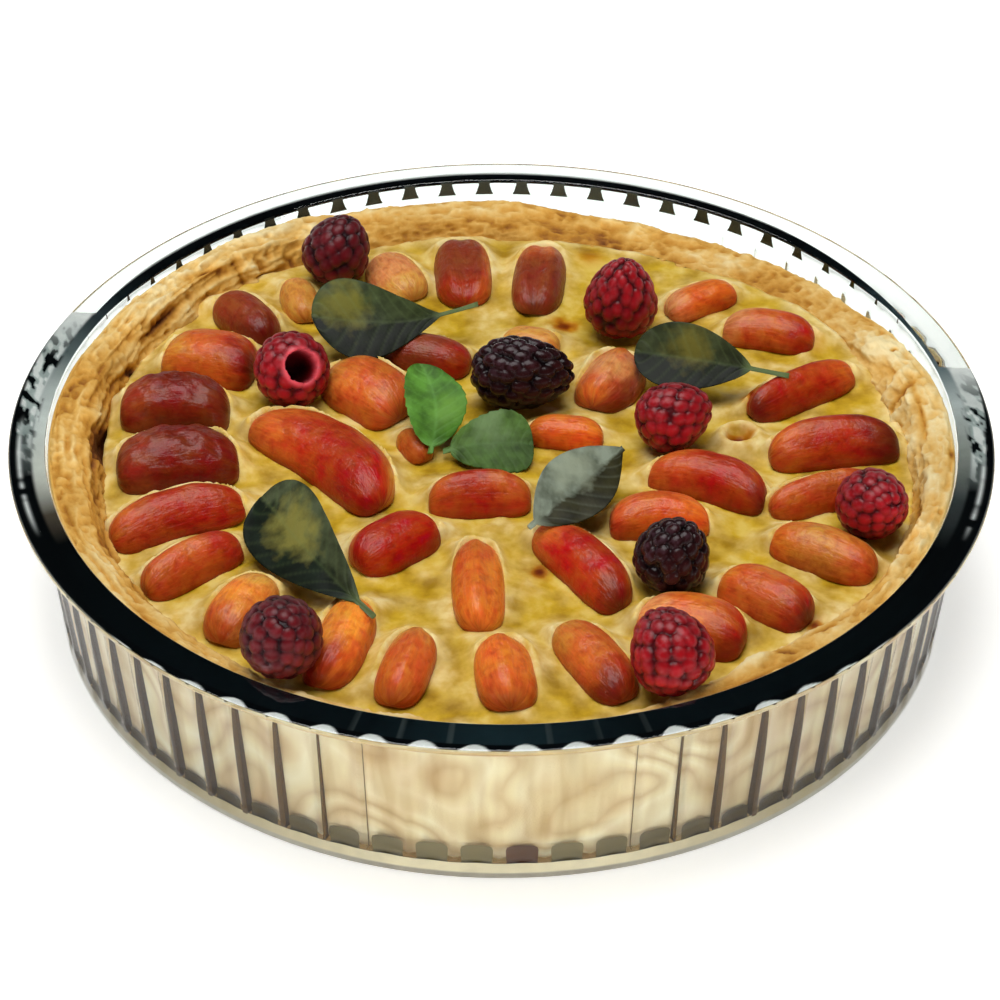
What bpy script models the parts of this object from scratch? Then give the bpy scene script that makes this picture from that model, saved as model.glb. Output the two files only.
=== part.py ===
"""Fruit tart in its own clear fluted glass dish.

All sizes below are millimetres and degrees, and MM turns them to metres. The origin is the
middle of the dish's underside, with +Z up and the front of the tart at -Y. A clock angle is
0 at the front, 90 at the right (+X), 180 at the back and -90 at the left.
"""

import math

import bmesh
import bpy
import numpy as np
from mathutils import Matrix, Vector
from mathutils.bvhtree import BVHTree

MM = 0.001
GAP = 0.45  # air between pieces that touch

# Dish
DISH_HEIGHT = 55.3
RIM_RADIUS = 140.0
RIM_EDGE = 1.8  # thickness of the rim's outer edge
RIM_ROUNDING = 0.7
COLLAR_RADIUS = 133.3  # outside of the wall, just under the rim
COLLAR_BOTTOM = 49.3
FOOT_RADIUS = 129.2
FOOT_HEIGHT = 5.8
FOOT_ROUNDING = 1.3
FLOOR_THICKNESS = 4.5
INNER_TOP_RADIUS = 129.5
INNER_FLOOR_RADIUS = 125.0
INNER_CORNER = 3.0
FLUTES = 68
FLUTE_POINTS = 3  # one on the ridge and two in the hollow
FLUTE_DEPTH = 1.3
FLUTE_RUN_OUT = 2.6  # how far the rounded ends of a flute reach

# Pastry
CRUST_COLUMNS = 120
CRUST_FLOOR = 4.5  # thickness of the pastry under the custard
CREST_INSET = 3.2  # from the glass to the highest line of the crust
CRUMPLE = 0.7  # depth of the small folds along the crust
CRUST_SEED = 7
# clock angle, height of the crest, inner radius of the crust at the custard
CRUST_EDGE = (
    (-165, 49.5, 112.5),
    (-150, 52.5, 114.5),
    (-135, 53.6, 117.0),
    (-120, 53.8, 117.0),
    (-102, 54.3, 115.0),
    (-84, 54.3, 112.5),
    (-65, 53.3, 117.0),
    (-45, 51.8, 117.0),
    (-28, 50.3, 118.0),
    (-8, 49.8, 118.8),
    (15, 49.8, 118.8),
    (38, 51.8, 113.5),
    (60, 53.3, 119.0),
    (80, 54.3, 118.0),
    (98, 53.8, 115.5),
    (112, 50.3, 116.5),
    (125, 47.8, 117.0),
    (145, 45.5, 113.0),
    (165, 45.5, 112.0),
    (178, 48.8, 112.0),
)

# Custard
CUSTARD_LEVEL = 43.3
CUSTARD_RELIEF = 0.5
CUSTARD_RINGS = ((100.0, 60), (84.0, 60), (66.0, 60), (46.0, 30), (24.0, 30))

# Apricot wedges: x, y, heading, length, width, height, bend, lean
APRICOTS = (
    (-33, 87, -63, 24, 15, 6.5, 0, 0.1),
    (-12.5, 90, -86, 34, 16.5, 7.5, 0, 0.1),
    (11.5, 86.5, -96, 35, 15, 7.5, 0, -0.1),
    (61, 75, 30, 24, 12, 6.5, 1, 0.0),
    (80.5, 56, -12, 28, 13, 7.5, 2, 0.2),
    (88.5, 27.5, 34, 38, 12, 8.0, 1, 0.2),
    (95.5, -2, 8, 38, 16, 9.5, 3, 0.2),
    (91.5, -23.5, 18, 34, 12, 7.5, 2, 0.1),
    (88.5, -49.5, -29, 31, 14, 8.0, 1, 0.2),
    (71, -70, -38, 28, 15, 8.5, 1, 0.2),
    (50.5, -82.5, -20, 30, 17, 9.0, 2, 0.2),
    (24.3, -94.5, -62, 33, 14, 7.5, 1, 0.1),
    (1.5, -100, -84, 26, 15, 8.5, 0, -0.1),
    (-25, -98, -104, 27, 13, 8.0, 0, 0.1),
    (-43, -88.5, -106, 33, 14, 8.5, 1, 0.0),
    (-69, -74.5, -114, 26, 15, 8.0, -1, 0.0),
    (-84, -56.5, 38, 31, 13, 8.0, 2, 0.2),
    (-90, -36, 23, 39, 16, 8.5, 3, 0.2),
    (-92, -12, 10, 35, 21, 11.0, 2, 0.1),
    (-95, 13.5, 0, 32, 19, 12.0, 2, 0.1),
    (-87, 39, -14, 29, 20, 10.5, 2, 0.1),
    (-78, 62, -55, 27, 14, 8.5, 1, 0.0),
    (-62, 74, -76, 21, 11, 6.0, 0, 0.0),
    (-22, 44, -13, 26, 14, 7.5, 1, 0.0),
    (-40, 24, -45, 29, 20, 9.5, 2, 0.1),
    (-52.5, -9.5, -46, 54, 20, 10.0, 6, 0.1),
    (-29, -46.5, 42, 28, 15, 8.5, 1, 0.1),
    (-6, -63.5, -88, 37, 13.5, 8.0, 0, -0.1),
    (21.5, -55.5, -56, 39, 14, 8.0, 2, 0.1),
    (-6, -26, 2, 29, 13, 8.5, 2, 0.2),
    (18.5, 5, -4, 22, 11, 6.5, 1, 0.0),
    (31.5, 31.5, -113, 26, 17, 9.0, 1, 0.0),
    (8.5, 51, -10, 18, 12, 6.5, 1, 0.0),
    (58, -19.5, -24, 35, 14, 9.0, 4, 0.2),
    (44, -36.5, 4, 28, 14, 8.5, 3, 0.1),
    (-25, 0.5, -63, 14, 8, 5.0, 0, 0.0),
)
APRICOT_STATIONS = 7
APRICOT_SECTION = 7
APRICOT_BLUNTNESS = 3.2  # 2 gives pointed, elliptical ends and more gives squarer ones

# Berries: name, x, y, diameter, length, turn and tilt of the axis, hollow, colour
BERRY_COLOURS = {
    "red": ("7E0E1C", 0.38),
    "deep": ("4A0E1C", 0.36),
    "dark": ("1E0C14", 0.32),
}
BERRIES = (
    ("raspberry_back_left", -51, 88.5, 21, 23, 30, 30, 0, "deep"),
    ("raspberry_hollow", -61.5, 25.5, 23, 20, -60, 52, 1, "red"),
    ("dark_berry_middle", 6, 23.5, 22, 31, 0, 90, 0, "dark"),
    ("raspberry_upright", 36, 62, 22, 26, 0, 4, 0, "red"),
    ("raspberry_centre_right", 49.5, 4, 20, 23, 10, 70, 0, "red"),
    ("raspberry_right", 103, -37.5, 20, 22, -60, 60, 0, "red"),
    ("dark_berry_right", 46.5, -61, 21, 22, 0, 20, 0, "dark"),
    ("raspberry_front_right", 44, -103, 22, 24, 120, 55, 0, "red"),
    ("raspberry_front_left", -56.5, -100.5, 22, 23, -70, 40, 0, "deep"),
)
BERRY_SPHERE_CUTS = 3
BERRY_BUMP = 0.09
BERRY_TAPER = 0.16
HOLLOW_ANGLE = 28.0
HOLLOW_DEPTH = 0.62

# Leaves: name, x, y, heading, pitch, roll, length, width, widest, stem, fold, curl, ends, sway,
# colour. heading points from the stem to the tip, widest is where the blade is broadest (0 is
# at its stem and 1 at its tip), lower ends are blunter, and sway bends the leaf sideways
LEAVES = (
    ("bay_leaf_back", -31.6, 52.7, 194, 4, -34, 40, 26.5, 0.71, 11, 1.8, 2.0, 0.52, 4.6, "27331F"),
    ("bay_leaf_right", 61.5, 29.3, 169, 3, -41, 35, 20.5, 0.63, 11, 2.0, 2.0, 0.45, 0.0, "242F1E"),
    ("bay_leaf_left", -51.3, -61, 124, 3, -38, 52, 24, 0.69, 6, 1.8, 3.0, 0.43, 0.8, "2B3722"),
    ("bay_leaf_centre", 21.5, -31, 50, 5, 28, 39.5, 20, 0.44, 2, 2.0, 1.6, 0.94, 0.0, "4A5648"),
    ("mint_leaf_large", -21.7, 6, 97, 30, 7, 26.5, 18, 0.51, 2, 1.2, 1.5, 0.46, -2.8, "4E9A3C"),
    ("mint_leaf_small", -3.9, -4, 3, 4, 28, 24, 20.3, 0.66, 2, 1.2, 1.5, 0.32, 0.8, "5C8A50"),
)
LEAF_THICKNESS = 0.7
LEAF_STATIONS = 9
LEAF_COLUMNS = 5
STEM_WIDTH = 1.6
LEAF_LIFT = 0.5  # extra air below a leaf, whose edges cross those of the fruit


def clear_scene():
    for old in list(bpy.data.objects):
        bpy.data.objects.remove(old, do_unlink=True)


def linear_colour(hex_code):
    channels = [int(hex_code[i : i + 2], 16) / 255 for i in (0, 2, 4)]
    return [c / 12.92 if c < 0.04045 else ((c + 0.055) / 1.055) ** 2.4 for c in channels] + [1.0]


def material(name, hex_code, roughness, transmission=0.0):
    made = bpy.data.materials.get(name)
    if made:
        return made
    made = bpy.data.materials.new(name)
    made.use_nodes = True
    shader = made.node_tree.nodes["Principled BSDF"]
    shader.inputs["Base Color"].default_value = linear_colour(hex_code)
    shader.inputs["Roughness"].default_value = roughness
    shader.inputs["Metallic"].default_value = 0.0
    shader.inputs["Transmission Weight"].default_value = transmission
    return made


def add_object(name, points, faces, finish):
    """One named object from points in millimetres."""
    mesh = bpy.data.meshes.new(name)
    mesh.from_pydata((np.asarray(points) * MM).tolist(), [], faces)
    mesh.materials.append(finish)
    mesh.update()
    made = bpy.data.objects.new(name, mesh)
    bpy.context.scene.collection.objects.link(made)
    return made


def shade(made, angle=35.0):
    made.data.shade_smooth()
    made.data.set_sharp_from_angle(angle=math.radians(angle))


# --- Skins over rings ------------------------------------------------------------------


def ring(count, radius, height):
    """Points round the Z axis; radius and height are numbers or one value for each point."""
    turn = np.arange(count) * 2 * math.pi / count
    return np.stack(
        (radius * np.cos(turn), radius * np.sin(turn), np.zeros(count) + height), axis=1
    )


def pole(height):
    return np.array([[0.0, 0.0, height]])


def clock_angles(count):
    """The clock angle of each point that ring() makes."""
    return np.arange(count) * 360 / count + 90


def nearest(step, size, count):
    """Which point of a ring of the given size lies by one step of a ring of count points."""
    return (2 * step * size + count) // (2 * count) % size


def loft(rings):
    """Points and triangles of the closed skin over a run of rings, the first and last poles.

    The rings run from the underside, up the outside and back down the inside, so that the
    faces point out. Where two counts differ, a point of the smaller ring fans out to the
    points of the larger one that lie nearest to it.
    """
    starts = np.cumsum([0] + [len(points) for points in rings])
    faces = []
    for k in range(len(rings) - 1):
        low, high = len(rings[k]), len(rings[k + 1])
        count = max(low, high)
        for i in range(count):
            a, a_next = (starts[k] + nearest(step, low, count) for step in (i, i + 1))
            b, b_next = (starts[k + 1] + nearest(step, high, count) for step in (i, i + 1))
            if a != a_next:
                faces.append((int(a), int(a_next), int(b_next)))
            if b != b_next:
                faces.append((int(a), int(b_next), int(b)))
    return np.concatenate(rings), faces


# --- Dish ------------------------------------------------------------------------------


def inner_wall_radius(height):
    """Inner radius of the glass, which widens steadily from its floor to its top."""
    share = (height - FLOOR_THICKNESS) / (DISH_HEIGHT - FLOOR_THICKNESS)
    return INNER_FLOOR_RADIUS + share * (INNER_TOP_RADIUS - INNER_FLOOR_RADIUS)


def outer_wall_radius(height):
    share = (height - FOOT_HEIGHT) / (COLLAR_BOTTOM - FOOT_HEIGHT)
    return FOOT_RADIUS + share * (COLLAR_RADIUS - FOOT_RADIUS)


def fluted_ring(height):
    """A ring whose points lie on the ridge of each flute and in its hollow."""
    count = FLUTES * FLUTE_POINTS
    hollow = np.arange(count) % FLUTE_POINTS != 0
    return ring(count, outer_wall_radius(height) - FLUTE_DEPTH * hollow, height)


def glass_dish():
    top = DISH_HEIGHT
    rings = [
        pole(0.0),
        ring(FLUTES, FOOT_RADIUS - FOOT_ROUNDING, 0.0),
        ring(FLUTES, FOOT_RADIUS, FOOT_ROUNDING),
        ring(FLUTES, outer_wall_radius(FOOT_HEIGHT), FOOT_HEIGHT),
        fluted_ring(FOOT_HEIGHT + FLUTE_RUN_OUT),
        fluted_ring(COLLAR_BOTTOM - FLUTE_RUN_OUT),
        ring(FLUTES, COLLAR_RADIUS, COLLAR_BOTTOM),
        ring(FLUTES, RIM_RADIUS - RIM_ROUNDING, top - RIM_EDGE),
        ring(FLUTES, RIM_RADIUS, top - RIM_EDGE + RIM_ROUNDING),
        ring(FLUTES, RIM_RADIUS, top - RIM_ROUNDING),
        ring(FLUTES, RIM_RADIUS - RIM_ROUNDING, top),
        ring(FLUTES, INNER_TOP_RADIUS + RIM_ROUNDING, top),
        ring(FLUTES, inner_wall_radius(top - RIM_ROUNDING), top - RIM_ROUNDING),
        ring(
            FLUTES,
            inner_wall_radius(FLOOR_THICKNESS + INNER_CORNER),
            FLOOR_THICKNESS + INNER_CORNER,
        ),
        ring(FLUTES, INNER_FLOOR_RADIUS - INNER_CORNER, FLOOR_THICKNESS),
        pole(FLOOR_THICKNESS),
    ]
    points, faces = loft(rings)
    dish = add_object("glass_dish", points, faces, material("clear_glass", "E6EFEE", 0.03, 1.0))
    shade(dish, 20.0)
    return dish


# --- Pastry and custard ----------------------------------------------------------------


def crumple(clock):
    """Small uneven folds round the crust, from a few seeded waves, between -1 and 1."""
    draw = np.random.default_rng(CRUST_SEED)
    waves = [
        np.sin(np.radians(clock) * turns + draw.uniform(0, 2 * math.pi)) / turns**0.3
        for turns in (9, 14, 23, 31)
    ]
    total = np.sum(waves, axis=0)
    return total / np.abs(total).max()


def crust_edge(clock):
    """Height of the crest and inner radius of the crust at each clock angle."""
    marks, heights, radii = np.array(CRUST_EDGE, dtype=float).T
    return (
        np.interp(clock, marks, heights, period=360),
        np.interp(clock, marks, radii, period=360),
    )


def pastry_crust():
    clock = clock_angles(CRUST_COLUMNS)
    crest, inner = crust_edge(clock)
    folds = crumple(clock) * CRUMPLE
    crest = crest + folds
    floor_top = FLOOR_THICKNESS + GAP + CRUST_FLOOR
    corner = FLOOR_THICKNESS + INNER_CORNER + 1.0

    def against_glass(height):
        return inner_wall_radius(height) - GAP - 0.1

    glass_edge = against_glass(crest)
    slope = glass_edge - CREST_INSET - inner
    rings = [
        pole(FLOOR_THICKNESS + GAP),
        ring(CRUST_COLUMNS, INNER_FLOOR_RADIUS - INNER_CORNER - 1.0, FLOOR_THICKNESS + GAP),
        ring(CRUST_COLUMNS, against_glass(corner), corner),
        ring(CRUST_COLUMNS, against_glass(crest - 3.0), crest - 3.0),
        ring(CRUST_COLUMNS, glass_edge - 0.9, crest - 0.4),
        ring(CRUST_COLUMNS, glass_edge - CREST_INSET, crest),
        ring(CRUST_COLUMNS, inner + slope * 0.45 - folds, crest - 1.8),
        ring(CRUST_COLUMNS, inner, CUSTARD_LEVEL + 0.3),
        ring(CRUST_COLUMNS, inner - 2.0, floor_top),
        pole(floor_top),
    ]
    points, faces = loft(rings)
    crust = add_object("pastry_crust", points, faces, material("pastry", "DDB878", 0.75))
    shade(crust)
    return crust


def custard_height(x, y):
    """Top of the custard: a few long, low swells."""
    swell = (
        np.sin(x / 19.0 + 0.7) * np.cos(y / 23.0)
        + 0.7 * np.sin((x + y) / 15.0 + 2.1)
        + 0.5 * np.cos((x - 1.4 * y) / 17.0)
    )
    return CUSTARD_LEVEL + CUSTARD_RELIEF * swell


def custard_filling():
    clock = clock_angles(CRUST_COLUMNS)
    inner = crust_edge(clock)[1]
    bottom = FLOOR_THICKNESS + GAP + CRUST_FLOOR + GAP
    edge = ring(CRUST_COLUMNS, inner - GAP - 0.15, CUSTARD_LEVEL)
    top_rings = [ring(count, radius, 0.0) for radius, count in CUSTARD_RINGS]
    for points in top_rings:
        points[:, 2] = custard_height(points[:, 0], points[:, 1])
    rings = [
        pole(bottom),
        ring(CRUST_COLUMNS, inner - 2.0 - GAP - 0.15, bottom),
        edge,
        *top_rings,
        pole(custard_height(0.0, 0.0)),
    ]
    points, faces = loft(rings)
    custard = add_object("custard_filling", points, faces, material("custard", "D6C257", 0.45))
    shade(custard)
    return custard


# --- Resting one piece on others -------------------------------------------------------


def surface_tree(pieces):
    """One search tree over the faces of several objects, in millimetres."""
    points = []
    faces = []
    for piece in pieces:
        start = len(points)
        points += [vertex.co / MM for vertex in piece.data.vertices]
        faces += [[start + i for i in face.vertices] for face in piece.data.polygons]
    return BVHTree.FromPolygons(points, faces)


def height_below(tree, x, y, fallback):
    hit = tree.ray_cast(Vector((x, y, 200.0)), Vector((0.0, 0.0, -1.0)))[0]
    return hit.z if hit else fallback


def drop(points, faces, supports, air):
    """Lower or lift points until the nearest support is straight below by the given air."""
    below = surface_tree(supports)
    own = BVHTree.FromPolygons([Vector(point) for point in points], faces)
    low, high = points[:, :2].min(0), points[:, :2].max(0)
    clearance = []
    for point in points:
        clearance.append(point[2] - height_below(below, point[0], point[1], -100.0))
    for piece in supports:
        for vertex in piece.data.vertices:
            x, y, z = vertex.co / MM
            if low[0] <= x <= high[0] and low[1] <= y <= high[1]:
                hit = own.ray_cast(Vector((x, y, -200.0)), Vector((0.0, 0.0, 1.0)))[0]
                if hit:
                    clearance.append(hit.z - z)
    return points - [0.0, 0.0, min(clearance) - air]


# --- Apricots --------------------------------------------------------------------------


def apricot_section(share, length, width, height, bend, lean):
    """One cross-section of a wedge: an arch from its left foot over its ridge to its right.

    share runs from -1 to 1 along the wedge, whose ends close as a superellipse.
    """
    swell = (1 - abs(share) ** APRICOT_BLUNTNESS) ** (1 / APRICOT_BLUNTNESS)
    arch = np.linspace(0, math.pi, APRICOT_SECTION)
    rise = height * swell * np.sin(arch) ** 0.8
    across = width / 2 * swell * np.cos(arch) + bend * (1 - share**2) + lean * rise
    return np.stack((np.full(APRICOT_SECTION, share * length / 2), across, rise), axis=1)


def apricot(index, row, custard_tree):
    x, y, heading, length, width, height, bend, lean = row
    shares = np.sin(np.linspace(-1.15, 1.15, APRICOT_STATIONS))
    shape = (length, width, height, bend, lean)
    ends = [np.array([[side * length / 2, 0.0, height * 0.12]]) for side in (-1, 1)]
    rings = [ends[0], *(apricot_section(share, *shape) for share in shares), ends[1]]
    points, faces = loft(rings)
    turn = math.radians(heading)
    across = points[:, :2] @ np.array(
        [[math.cos(turn), math.sin(turn)], [-math.sin(turn), math.cos(turn)]]
    )
    points[:, :2] = across + [x, y]
    for point in points:
        point[2] += height_below(custard_tree, point[0], point[1], CUSTARD_LEVEL) + GAP
    finish = material("apricot", "C85A26", 0.4)
    wedge = add_object(f"apricot_{index:02d}", points, faces, finish)
    shade(wedge, 50.0)
    return wedge


# --- Berries ---------------------------------------------------------------------------


def sphere(cuts):
    """Points and faces of a unit sphere of triangles."""
    shape = bmesh.new()
    bmesh.ops.create_icosphere(shape, subdivisions=cuts, radius=1.0)
    points = np.array([vertex.co[:] for vertex in shape.verts])
    faces = [[vertex.index for vertex in face.verts] for face in shape.faces]
    shape.free()
    return points, faces


def berry_points(diameter, length, hollow):
    """A tapered sphere with a bump for each drupelet, and a cup in its top if hollow."""
    points, faces = sphere(BERRY_SPHERE_CUTS)
    seeds = sphere(BERRY_SPHERE_CUTS - 1)[0]
    raised = (points @ seeds.T).max(axis=1) > 0.9999
    points = points * (1 - BERRY_BUMP + BERRY_BUMP * raised)[:, None]
    if hollow:
        reach = np.linalg.norm(points[:, :2], axis=1) / math.sin(math.radians(HOLLOW_ANGLE))
        inside = (reach < 1) & (points[:, 2] > 0)
        points[inside, 2] -= 2 * HOLLOW_DEPTH * np.sqrt(1 - reach[inside] ** 2)
    else:
        points[:, :2] *= (1 - BERRY_TAPER * points[:, 2])[:, None]
    return points * [diameter / 2, diameter / 2, length / 2], faces


def berry(row, supports):
    name, x, y, diameter, length, turn, tilt, hollow, colour = row
    points, faces = berry_points(diameter, length, hollow)
    spin = Matrix.Rotation(math.radians(turn), 3, "Z") @ Matrix.Rotation(
        math.radians(tilt), 3, "Y"
    )
    points = points @ np.array(spin).T + [x, y, 60.0]
    points = drop(points, faces, supports, GAP)
    finish = material(f"berry_{colour}", *BERRY_COLOURS[colour])
    made = add_object(name, points, faces, finish)
    shade(made, 60.0)
    return made


# --- Leaves ----------------------------------------------------------------------------


def leaf_grid(length, width, widest, stem, fold, curl, ends, sway):
    """Middle surface of a leaf: a blade on a short stem, folded along its midrib.

    The grid's first axis runs from the stem's end to the tip and its second one across. The
    blade's half width is a sine, whose crest is moved to its widest place by one power and
    whose ends are made slender or blunt by another.
    """
    blade = (1 - np.cos(np.linspace(0, math.pi, LEAF_STATIONS - 1))) / 2
    blade = np.concatenate(([0.0], blade))
    along = (stem + blade * length) / (stem + length)
    along[0] = 0.0
    crest = np.clip(np.sin(math.pi * blade ** (math.log(0.5) / math.log(widest))), 0, 1)
    half_width = width / 2 * crest**ends
    half_width = np.maximum(half_width, STEM_WIDTH / 2)
    side = np.linspace(-1, 1, LEAF_COLUMNS)
    x = np.repeat(((along - 0.5) * (length + stem))[:, None], LEAF_COLUMNS, axis=1)
    y = half_width[:, None] * side[None, :] + sway * np.sin(math.pi * along)[:, None]
    wave = 0.6 * np.sin(along * 9.0)[:, None] * side[None, :] ** 3
    z = fold * np.abs(side)[None, :] ** 1.4 * (half_width / half_width.max())[:, None]
    z = z + wave - curl * (2 * along[:, None] - 1) ** 2
    return np.stack((x, y, z), axis=2)


def thicken(grid):
    """A thin closed solid on a grid, with both faces split into triangles alike."""
    rows, columns = grid.shape[:2]
    top = grid.reshape(-1, 3)
    points = np.concatenate((top, top - [0.0, 0.0, LEAF_THICKNESS]))
    under = rows * columns
    faces = []
    for i in range(rows - 1):
        for j in range(columns - 1):
            a = i * columns + j
            b = a + columns
            for face in ((a, b, b + 1), (a, b + 1, a + 1)):
                faces.append(face)
                faces.append(tuple(corner + under for corner in reversed(face)))
    border = [i * columns for i in range(rows)]
    border += [(rows - 1) * columns + j for j in range(1, columns)]
    border += [i * columns + columns - 1 for i in range(rows - 2, -1, -1)]
    border += list(range(columns - 2, 0, -1))
    for a, b in zip(border, border[1:] + border[:1]):
        faces.append((a, a + under, b + under))
        faces.append((a, b + under, b))
    return points, faces


def leaf(row, supports):
    name, x, y, heading, pitch, roll, *form, colour = row
    points, faces = thicken(leaf_grid(*form))
    pose = (
        Matrix.Rotation(math.radians(heading), 3, "Z")
        @ Matrix.Rotation(math.radians(-pitch), 3, "Y")
        @ Matrix.Rotation(math.radians(roll), 3, "X")
    )
    points = points @ np.array(pose).T + [x, y, 80.0]
    points = drop(points, faces, supports, GAP + LEAF_LIFT)
    made = add_object(name, points, faces, material(name, colour, 0.5))
    shade(made, 60.0)
    return made


def build():
    clear_scene()
    glass_dish()
    crust = pastry_crust()
    custard = custard_filling()
    custard_tree = surface_tree([custard])
    supports = [crust, custard]
    for index, row in enumerate(APRICOTS):
        supports.append(apricot(index, row, custard_tree))
    for row in BERRIES:
        supports.append(berry(row, supports))
    for row in LEAVES:
        supports.append(leaf(row, supports))


build()
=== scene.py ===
import functools
import itertools
import math

import bpy
import numpy as np
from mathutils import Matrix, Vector


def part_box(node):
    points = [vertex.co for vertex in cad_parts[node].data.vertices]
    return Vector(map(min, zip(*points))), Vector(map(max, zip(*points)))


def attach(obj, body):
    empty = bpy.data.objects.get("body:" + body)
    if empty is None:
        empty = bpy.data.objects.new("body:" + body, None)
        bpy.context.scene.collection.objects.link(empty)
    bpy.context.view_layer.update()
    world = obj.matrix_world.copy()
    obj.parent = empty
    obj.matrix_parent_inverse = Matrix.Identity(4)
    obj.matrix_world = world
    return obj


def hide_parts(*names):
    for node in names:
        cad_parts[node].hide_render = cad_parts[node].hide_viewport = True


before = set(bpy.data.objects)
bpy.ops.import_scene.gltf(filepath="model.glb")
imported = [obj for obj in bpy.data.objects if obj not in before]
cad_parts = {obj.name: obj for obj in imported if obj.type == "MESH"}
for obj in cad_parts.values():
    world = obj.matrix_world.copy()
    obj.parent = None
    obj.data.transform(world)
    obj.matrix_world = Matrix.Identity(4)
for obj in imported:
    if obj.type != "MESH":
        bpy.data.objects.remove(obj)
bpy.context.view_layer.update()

# Fruit tart in its own clear fluted glass dish. Tables are in millimetres and degrees.
# A clock angle is 0 at the front (-Y), 90 at the right (+X) and 180 at the back.
scene = bpy.context.scene
scene.view_settings.view_transform = "Standard"


def linearColour(hexCode):
    # sRGB hex to the linear values that the shader wants
    channels = [int(hexCode[i:i + 2], 16) / 255 for i in (0, 2, 4)]
    return [c / 12.92 if c < 0.04045 else ((c + 0.055) / 1.055) ** 2.4 for c in channels] + [1.0]


def colours(*hexCodes):
    # a row of linear red, green and blue for each hex code
    return np.array([linearColour(h)[:3] for h in hexCodes])


def setInputs(node, inputs):
    # an input takes a plain value, a hex colour or the socket that feeds it
    for name, value in inputs.items():
        if isinstance(value, bpy.types.NodeSocket):
            node.id_data.links.new(value, node.inputs[name])
        else:
            node.inputs[name].default_value = linearColour(value) if isinstance(value, str) else value


def addNode(tree, kind, inputs=None, stops=(), **settings):
    # one shader node with its settings, its inputs and, on a ramp, its stops; gives its outputs
    made = tree.nodes.new("ShaderNode" + kind)
    for name, value in settings.items():
        setattr(made, name, value)
    for number, (position, hexCode) in enumerate(stops):
        points = made.color_ramp.elements
        point = points[number] if number < 2 else points.new(position)
        point.position = position
        point.color = linearColour(hexCode)
    setInputs(made, inputs or {})
    return made.outputs


def newMaterial(name):
    # the material, its shader and addNode for its tree. In the materials a noise's scale is in
    # cells for each metre, so 200 is a pattern 5 mm long, and a colour Mix has its share at
    # input 0, its colours at 6 and 7 and its result at 2
    made = bpy.data.materials.new(name)
    made.use_nodes = True
    tree = made.node_tree
    return made, tree.nodes["Principled BSDF"], functools.partial(addNode, tree)


def smoothStep(low, high, value):
    # 3 t^2 - 2 t^3, from 0 at low to 1 at high, which may be the smaller one
    share = np.clip((value - low) / (high - low), 0, 1)
    return share * share * (3 - 2 * share)


def plateau(marks, value):
    # up over the first two marks and down over the last two
    return smoothStep(*marks[:2], value) * (1 - smoothStep(*marks[2:], value))


def bell(value, width):
    # the bell curve exp(-(value / width)^2)
    return np.exp(-((value / width) ** 2))


def cloud(seed, *axes, cell=1.0, wrap=None, octaves=1):
    # value noise, -1 to 1: random values on a lattice of the given cell (mm, one for each
    # axis or one for all), blended by smoothstep; wrap closes the first axis on itself
    cells = np.broadcast_to(cell, (len(axes),)).astype(float)
    total, size = 0.0, 0.0
    for octave in range(octaves):
        table = np.random.default_rng(seed + octave).uniform(-1, 1, 8192)
        place = [np.asarray(axis, float) / c * 2**octave for axis, c in zip(axes, cells)]
        low = [np.floor(p).astype(np.int64) for p in place]
        blend = [smoothStep(0, 1, p - l) for p, l in zip(place, low)]
        layer = 0.0
        for corner in itertools.product((0, 1), repeat=len(axes)):
            key, weight = 0, 1.0
            for k, step in enumerate(corner):
                cellAt = low[k] + step
                if wrap and k == 0:
                    cellAt = cellAt % (wrap * 2**octave)
                # large primes spread the lattice's cells over the table
                key = key ^ (cellAt * (73856093, 19349663, 83492791)[k])
                weight = weight * (blend[k] if step else 1 - blend[k])
            layer = layer + weight * table[key % len(table)]
        total = total + layer * 0.5**octave
        size += 0.5**octave
    return total / size


def roundTheClock(columns):
    # the turn of every column from +X, in radians, and its clock angle
    turn = np.arange(columns) * 2 * math.pi / columns
    return turn, (np.degrees(turn) + 270) % 360 - 180


def roundGrid(radius, height, turn):
    # points of a surface round the upright axis, with a radius and a height for each
    radius, height, turn = np.broadcast_arrays(radius, height, turn)
    return np.stack((radius * np.cos(turn), radius * np.sin(turn), height), axis=-1)


def gridFaces(rows, columns, wrapped):
    # quads of a grid of points, row by row; wrapped joins the last column to the first
    last = columns if wrapped else columns - 1
    i, j = np.meshgrid(np.arange(rows - 1), np.arange(last), indexing="ij")
    a, b = i * columns + j, i * columns + (j + 1) % columns
    return np.stack((a, b, b + columns, a + columns), axis=-1).reshape(-1, 4).tolist()


def closedSkin(grid):
    # a grid whose first and last rows shrink to points: those rows become poles with fans
    rows, columns = grid.shape[:2]
    points = onPoints(grid)
    inner = [[c + 1 for c in face] for face in gridFaces(rows - 2, columns, True)]
    around = np.arange(columns)
    following = (around + 1) % columns
    lastRow, pole = 1 + (rows - 3) * columns, len(points) - 1
    fans = np.stack((np.zeros(columns, int), 1 + following, 1 + around), axis=1).tolist()
    fans += np.stack((lastRow + around, lastRow + following, np.full(columns, pole)), axis=1).tolist()
    return points, inner + fans


def onPoints(values):
    # the values of a grid in the order of closedSkin's points
    return np.concatenate((values[:1, 0], values[1:-1].reshape(-1, *values.shape[2:]), values[-1:, 0]))


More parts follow.
